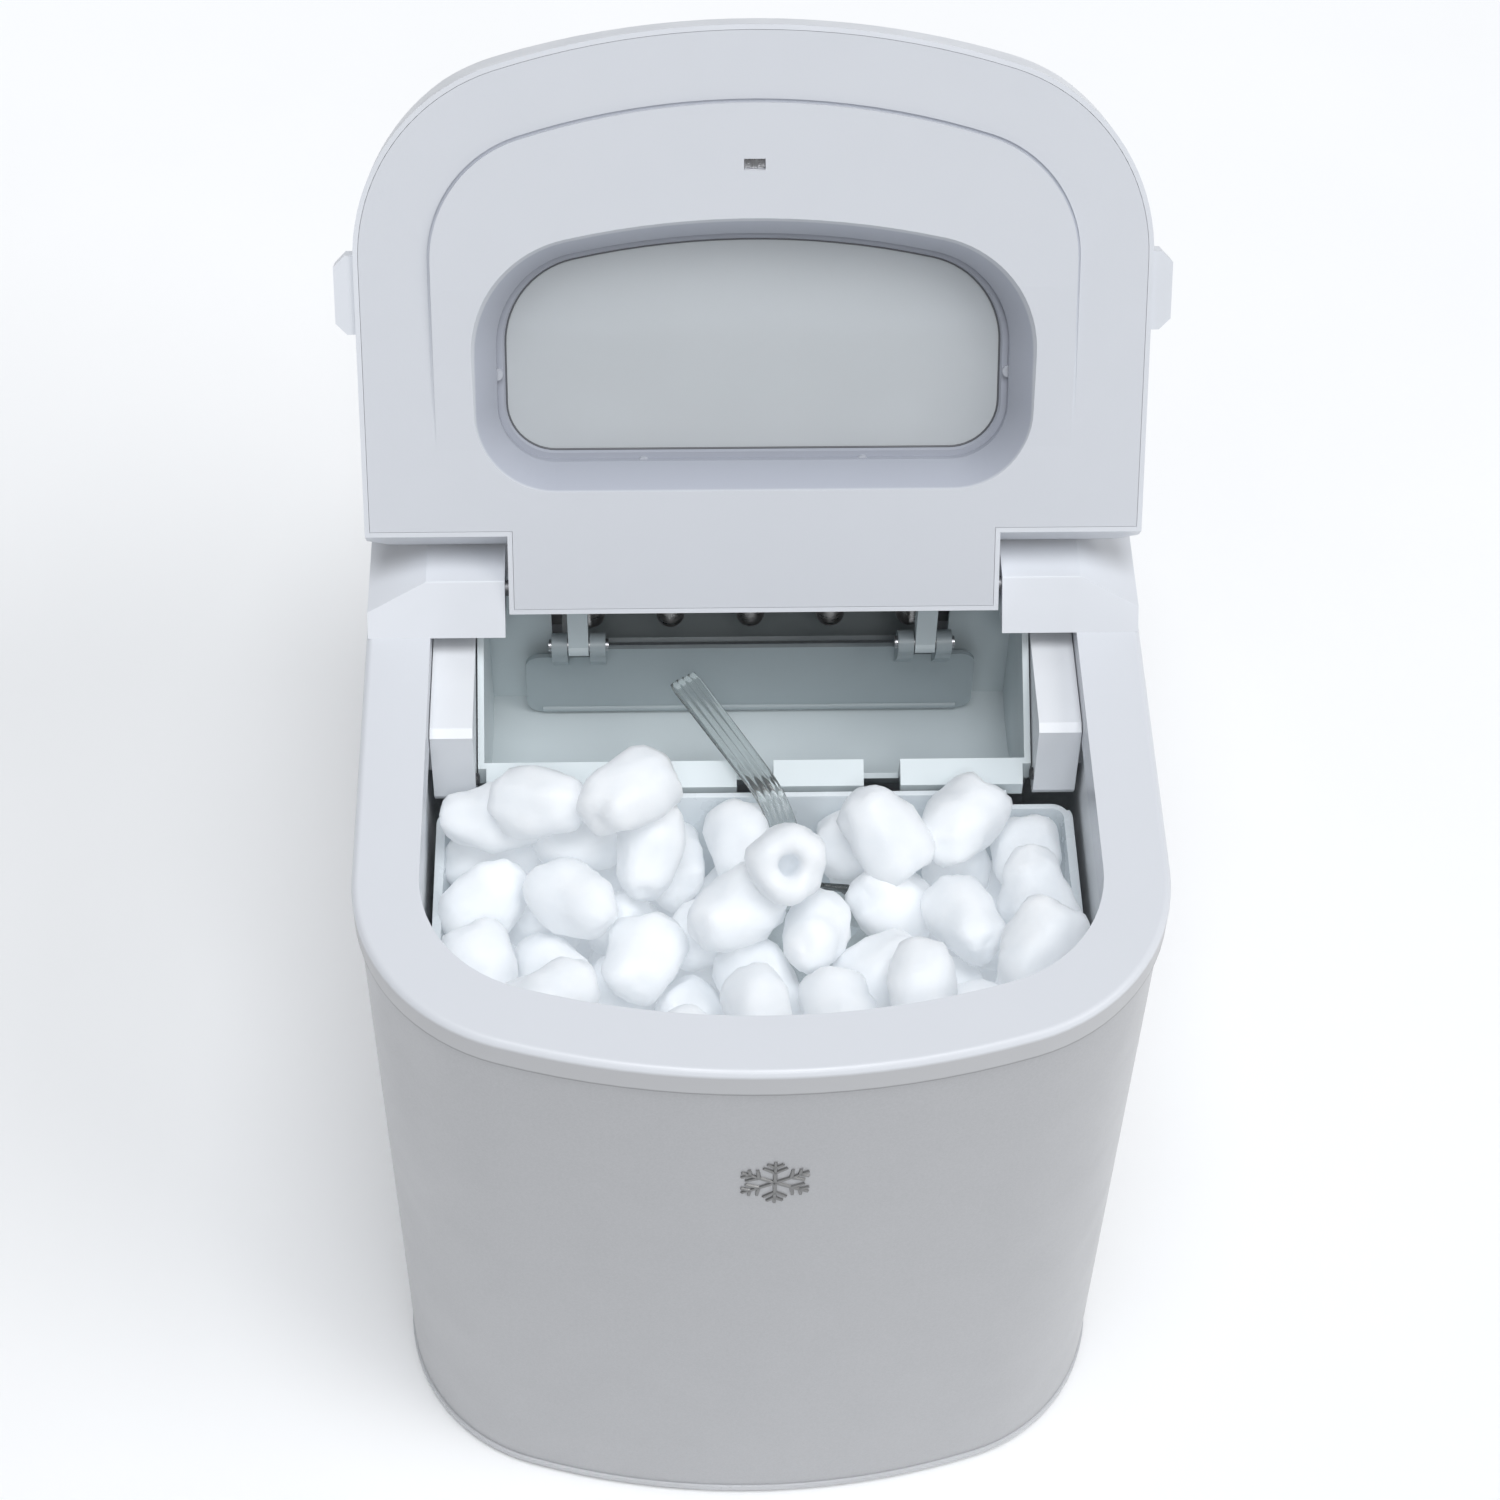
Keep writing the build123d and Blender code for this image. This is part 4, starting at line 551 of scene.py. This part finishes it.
def make_ice(material, obstacles):
    low, high = settle_ice(obstacles)
    bullets = list(zip(low, high))
    spheres = np.concatenate([low, high])
    toppers = [
        OPEN_TOPPER,
        ((-65, -72), (0.9, -0.2, 0.25)),
        ((-40, -74), (-0.7, -0.6, 0.1)),
        ((38, -76), (0.6, -0.6, -0.5)),
    ]
    for (x, y), way in toppers:
        way = np.array(way) / np.linalg.norm(way)
        z = drop_on(spheres, x, y) - ICE_SINK
        centre = np.array((x, y, z))
        pair = (centre + way * ICE_HALF_STEM, centre - way * ICE_HALF_STEM)
        bullets.append(pair)
        spheres = np.concatenate([spheres, np.array(pair)])
    rng = np.random.default_rng(SHAPE_SEED)
    profile = bullet_profile()
    vertices, faces = [], []
    for number, (base, tip) in enumerate(bullets):
        if number != ICE_COUNT and np.dot(tip - base, ICE_MOUTH) < 0:
            base, tip = tip, base
        axis = Vector(tip - base).normalized()
        turn = axis.to_track_quat("Z", "Y").to_matrix()
        middle = Vector((base + tip) / 2)
        girth, length = rng.uniform(0.9, 1.04), rng.uniform(0.88, 1.03)
        drift = Vector(rng.uniform(-500, 500, 3))
        start = len(vertices)
        for radius, height in profile:
            count = 1 if radius == 0 else ICE_SEGMENTS
            for k in range(count):
                around = 2 * math.pi * k / ICE_SEGMENTS
                wide = radius * girth
                local = Vector((wide * math.cos(around), wide * math.sin(around), height * length))
                local *= 1 + sum(size * noise.noise(local * fine + drift) for fine, size in ICE_LUMPS)
                vertices.append((middle + turn @ local) * MM)
        rings = len(profile)
        first = start + 1
        for k in range(ICE_SEGMENTS):
            faces.append((start, first + (k + 1) % ICE_SEGMENTS, first + k))
        for ring in range(rings - 3):
            a, b = first + ring * ICE_SEGMENTS, first + (ring + 1) * ICE_SEGMENTS
            for k in range(ICE_SEGMENTS):
                faces.append((a + k, a + (k + 1) % ICE_SEGMENTS, b + (k + 1) % ICE_SEGMENTS, b + k))
        last = first + (rings - 3) * ICE_SEGMENTS
        for k in range(ICE_SEGMENTS):
            faces.append((last + k, last + (k + 1) % ICE_SEGMENTS, len(vertices) - 1))
    return new_piece("ice_bullets", vertices, faces, material, "basket")


# ---------------------------------------------------------------- scoop

SCOOP_LINE = [
    (-22.4, -16.6, 248.6), (-11.5, -33.2, 245.8), (-0.4, -50.0, 243.0), (5.0, -58.5, 241.0),
    (10.0, -68.0, 232.0), (13.0, -76.0, 222.0),
]
SCOOP_HALF_WIDTH = 4.7
SCOOP_BOWL = ((13.5, -77.0, 219.0), (30.0, -124.0, 200.0))
SCOOP_BOWL_HALF_WIDTH = 21.0
SCOOP_BOWL_DEPTH = 15.0


def make_scoop(material):
    """A clear scoop: a flat ribbed handle laid over the sill, and a bowl under the ice."""
    line = bpy.data.curves.new("scoop_line", "CURVE")
    line.dimensions = "3D"
    spline = line.splines.new("NURBS")
    spline.points.add(len(SCOOP_LINE) - 1)
    for point, place in zip(spline.points, SCOOP_LINE):
        point.co = (*place, 1)
    spline.order_u = 3
    spline.use_endpoint_u = True
    spline.resolution_u = 10
    holder = bpy.data.objects.new("scoop_line", line)
    bpy.context.scene.collection.objects.link(holder)
    path = [Vector(v.co) for v in bpy.data.meshes.new_from_object(holder).vertices]
    bpy.data.objects.remove(holder)
    across = 17
    vertices, faces = [], []
    for i, place in enumerate(path):
        ahead = (path[min(i + 1, len(path) - 1)] - path[max(i - 1, 0)]).normalized()
        side = ahead.cross(Vector((0, 0, 1))).normalized()
        up = side.cross(ahead)
        along = i / (len(path) - 1)
        half = SCOOP_HALF_WIDTH * (1 - 0.16 * along)
        end = 0.9 if i == 0 else 1.0
        for k in range(across):
            t = 2 * k / (across - 1) - 1
            rib = 0.4 * max(0.0, math.cos(4 * math.pi * t))
            vertices.append((place + side * (t * half * end) + up * rib) * MM)
    for i in range(len(path) - 1):
        for k in range(across - 1):
            a = i * across + k
            faces.append((a, a + 1, a + across + 1, a + across))
    handle_count = len(vertices)
    start, stop = (Vector(p) for p in SCOOP_BOWL)
    ahead = (stop - start).normalized()
    side = ahead.cross(Vector((0, 0, 1))).normalized()
    up = side.cross(ahead)
    rows, columns = 13, 15
    for i in range(rows):
        t = i / (rows - 1)
        swell = min(1.0, math.sqrt(max(0.0, 1 - (1 - min(1, t / 0.35)) ** 2)) * 0.86 + 0.14)
        for k in range(columns):
            v = 2 * k / (columns - 1) - 1
            drop = SCOOP_BOWL_DEPTH * swell * (1 - v**4)
            vertices.append((start.lerp(stop, t) + side * v * SCOOP_BOWL_HALF_WIDTH * swell - up * drop) * MM)
    for i in range(rows - 1):
        for k in range(columns - 1):
            a = handle_count + i * columns + k
            faces.append((a, a + 1, a + columns + 1, a + columns))
    scoop = new_piece("ice_scoop", vertices, faces, material, "basket")
    thick = scoop.modifiers.new("wall", "SOLIDIFY")
    thick.thickness = 1.5 * MM
    thick.offset = 0
    apply_modifiers(scoop)
    return scoop


def scoop_obstacles():
    start, stop = (np.array(p) for p in SCOOP_BOWL)
    bowl = [(start + (stop - start) * t - np.array((0, 0, 4.0)), 17.0) for t in (0.2, 0.5, 0.8)]
    neck = [(np.array(p), 3.0) for p in SCOOP_LINE[4:]]
    return bowl + neck


# ---------------------------------------------------------------- small pieces


def face_rim(node, way, tolerance=0.999):
    """The closed outlines of a CAD node's flat faces that look along way, each as a list of points."""
    shape = bmesh.new()
    shape.from_mesh(nodes[node].data)
    bmesh.ops.remove_doubles(shape, verts=shape.verts, dist=1e-6)
    way = Vector(way).normalized()
    chosen = {f for f in shape.faces if f.normal.dot(way) > tolerance}
    links = {}
    for edge in shape.edges:
        if sum(f in chosen for f in edge.link_faces) == 1:
            a, b = edge.verts
            links.setdefault(a, []).append(b)
            links.setdefault(b, []).append(a)
    loops, seen = [], set()
    for start in links:
        if start in seen:
            continue
        loop, here, last = [], start, None
        while here is not None and here not in seen:
            seen.add(here)
            loop.append(here.co.copy())
            ahead = [v for v in links[here] if v is not last and v not in seen]
            last, here = here, ahead[0] if ahead else None
        loops.append(loop)
    shape.free()
    return loops


def bead(name, points, radius, material, body):
    """A thin round bead along a closed line of points."""
    line = bpy.data.curves.new(name, "CURVE")
    line.dimensions = "3D"
    line.bevel_depth = radius * MM
    line.bevel_resolution = 3
    spline = line.splines.new("POLY")
    spline.points.add(len(points) - 1)
    for point, place in zip(spline.points, points):
        point.co = (*place, 1)
    spline.use_cyclic_u = True
    line.materials.append(material)
    piece = bpy.data.objects.new(name, line)
    bpy.context.scene.collection.objects.link(piece)
    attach(piece, body)
    return piece


WINDOW_HALF_WIDTH = 76.0


def make_window_gasket(material):
    loops = face_rim("lid_inner_panel", LID_NORMAL)
    outline = min(loops, key=lambda loop: abs(max(p.x for p in loop) - WINDOW_HALF_WIDTH * MM))
    return bead("window_gasket", outline, 0.4, material, "lid")


BADGE_CENTRE = (3.0, 209.0)
BADGE_ARM = 11.5
BADGE_STROKE = 0.8
BADGE_HEIGHT = 0.5


def badge_strokes():
    """The centre lines of a plain six-armed snow crystal."""
    strokes = []
    for k in range(6):
        turn = math.pi / 6 + k * math.pi / 3
        way = Vector((math.cos(turn), math.sin(turn)))
        strokes.append((Vector((0, 0)), way * BADGE_ARM))
        for at, reach in ((0.48, 4.4), (0.74, 3.0)):
            root = way * BADGE_ARM * at
            for lean in (-math.pi / 3.4, math.pi / 3.4):
                twig = Vector((math.cos(turn + lean), math.sin(turn + lean)))
                strokes.append((root, root + twig * reach))
    return strokes


def make_badge(material):
    shell = nodes["front_shell"]
    tree = BVHTree.FromObject(shell, bpy.context.evaluated_depsgraph_get())
    vertices, faces = [], []
    for a, b in badge_strokes():
        along = (b - a).normalized()
        across = Vector((-along.y, along.x))
        steps = 6
        start = len(vertices)
        for i in range(steps + 1):
            middle = a.lerp(b, i / steps)
            taper = 1 - 0.25 * i / steps
            for offset, height in ((-1, 0.0), (-0.62, 1.0), (0.62, 1.0), (1, 0.0)):
                flat = middle + across * offset * BADGE_STROKE * taper
                x, z = (BADGE_CENTRE[0] + flat.x) * MM, (BADGE_CENTRE[1] + flat.y) * MM
                hit = tree.ray_cast(Vector((x, -1, z)), Vector((0, 1, 0)))[0]
                vertices.append((x, hit.y + (0.15 - (BADGE_HEIGHT + 0.15) * height) * MM, z))
        for i in range(steps):
            for k in range(3):
                p = start + 4 * i + k
                faces.append((p, p + 1, p + 5, p + 4))
            faces.append((start + 4 * i + 3, start + 4 * i, start + 4 * i + 4, start + 4 * i + 7))
        faces.append((start + 3, start + 2, start + 1, start))
        last = start + 4 * steps
        faces.append((last, last + 1, last + 2, last + 3))
    return new_piece("front_emblem", vertices, faces, material, "cabinet", smooth=False)


# ---------------------------------------------------------------- the scene

make_camera()
make_floor()
make_lights()
materials = make_slot_materials()
dress_nodes(materials)
dress_special_nodes()
make_ice(cloudy_ice("cloudy_ice"), scoop_obstacles())
make_scoop(clear_plastic("clear_scoop_plastic"))
make_window_gasket(moulded("gasket_grey", (0.10, 0.105, 0.115), 0.4))
make_badge(moulded("emblem_grey", (0.22, 0.22, 0.22), 0.35, Metallic=0.5))
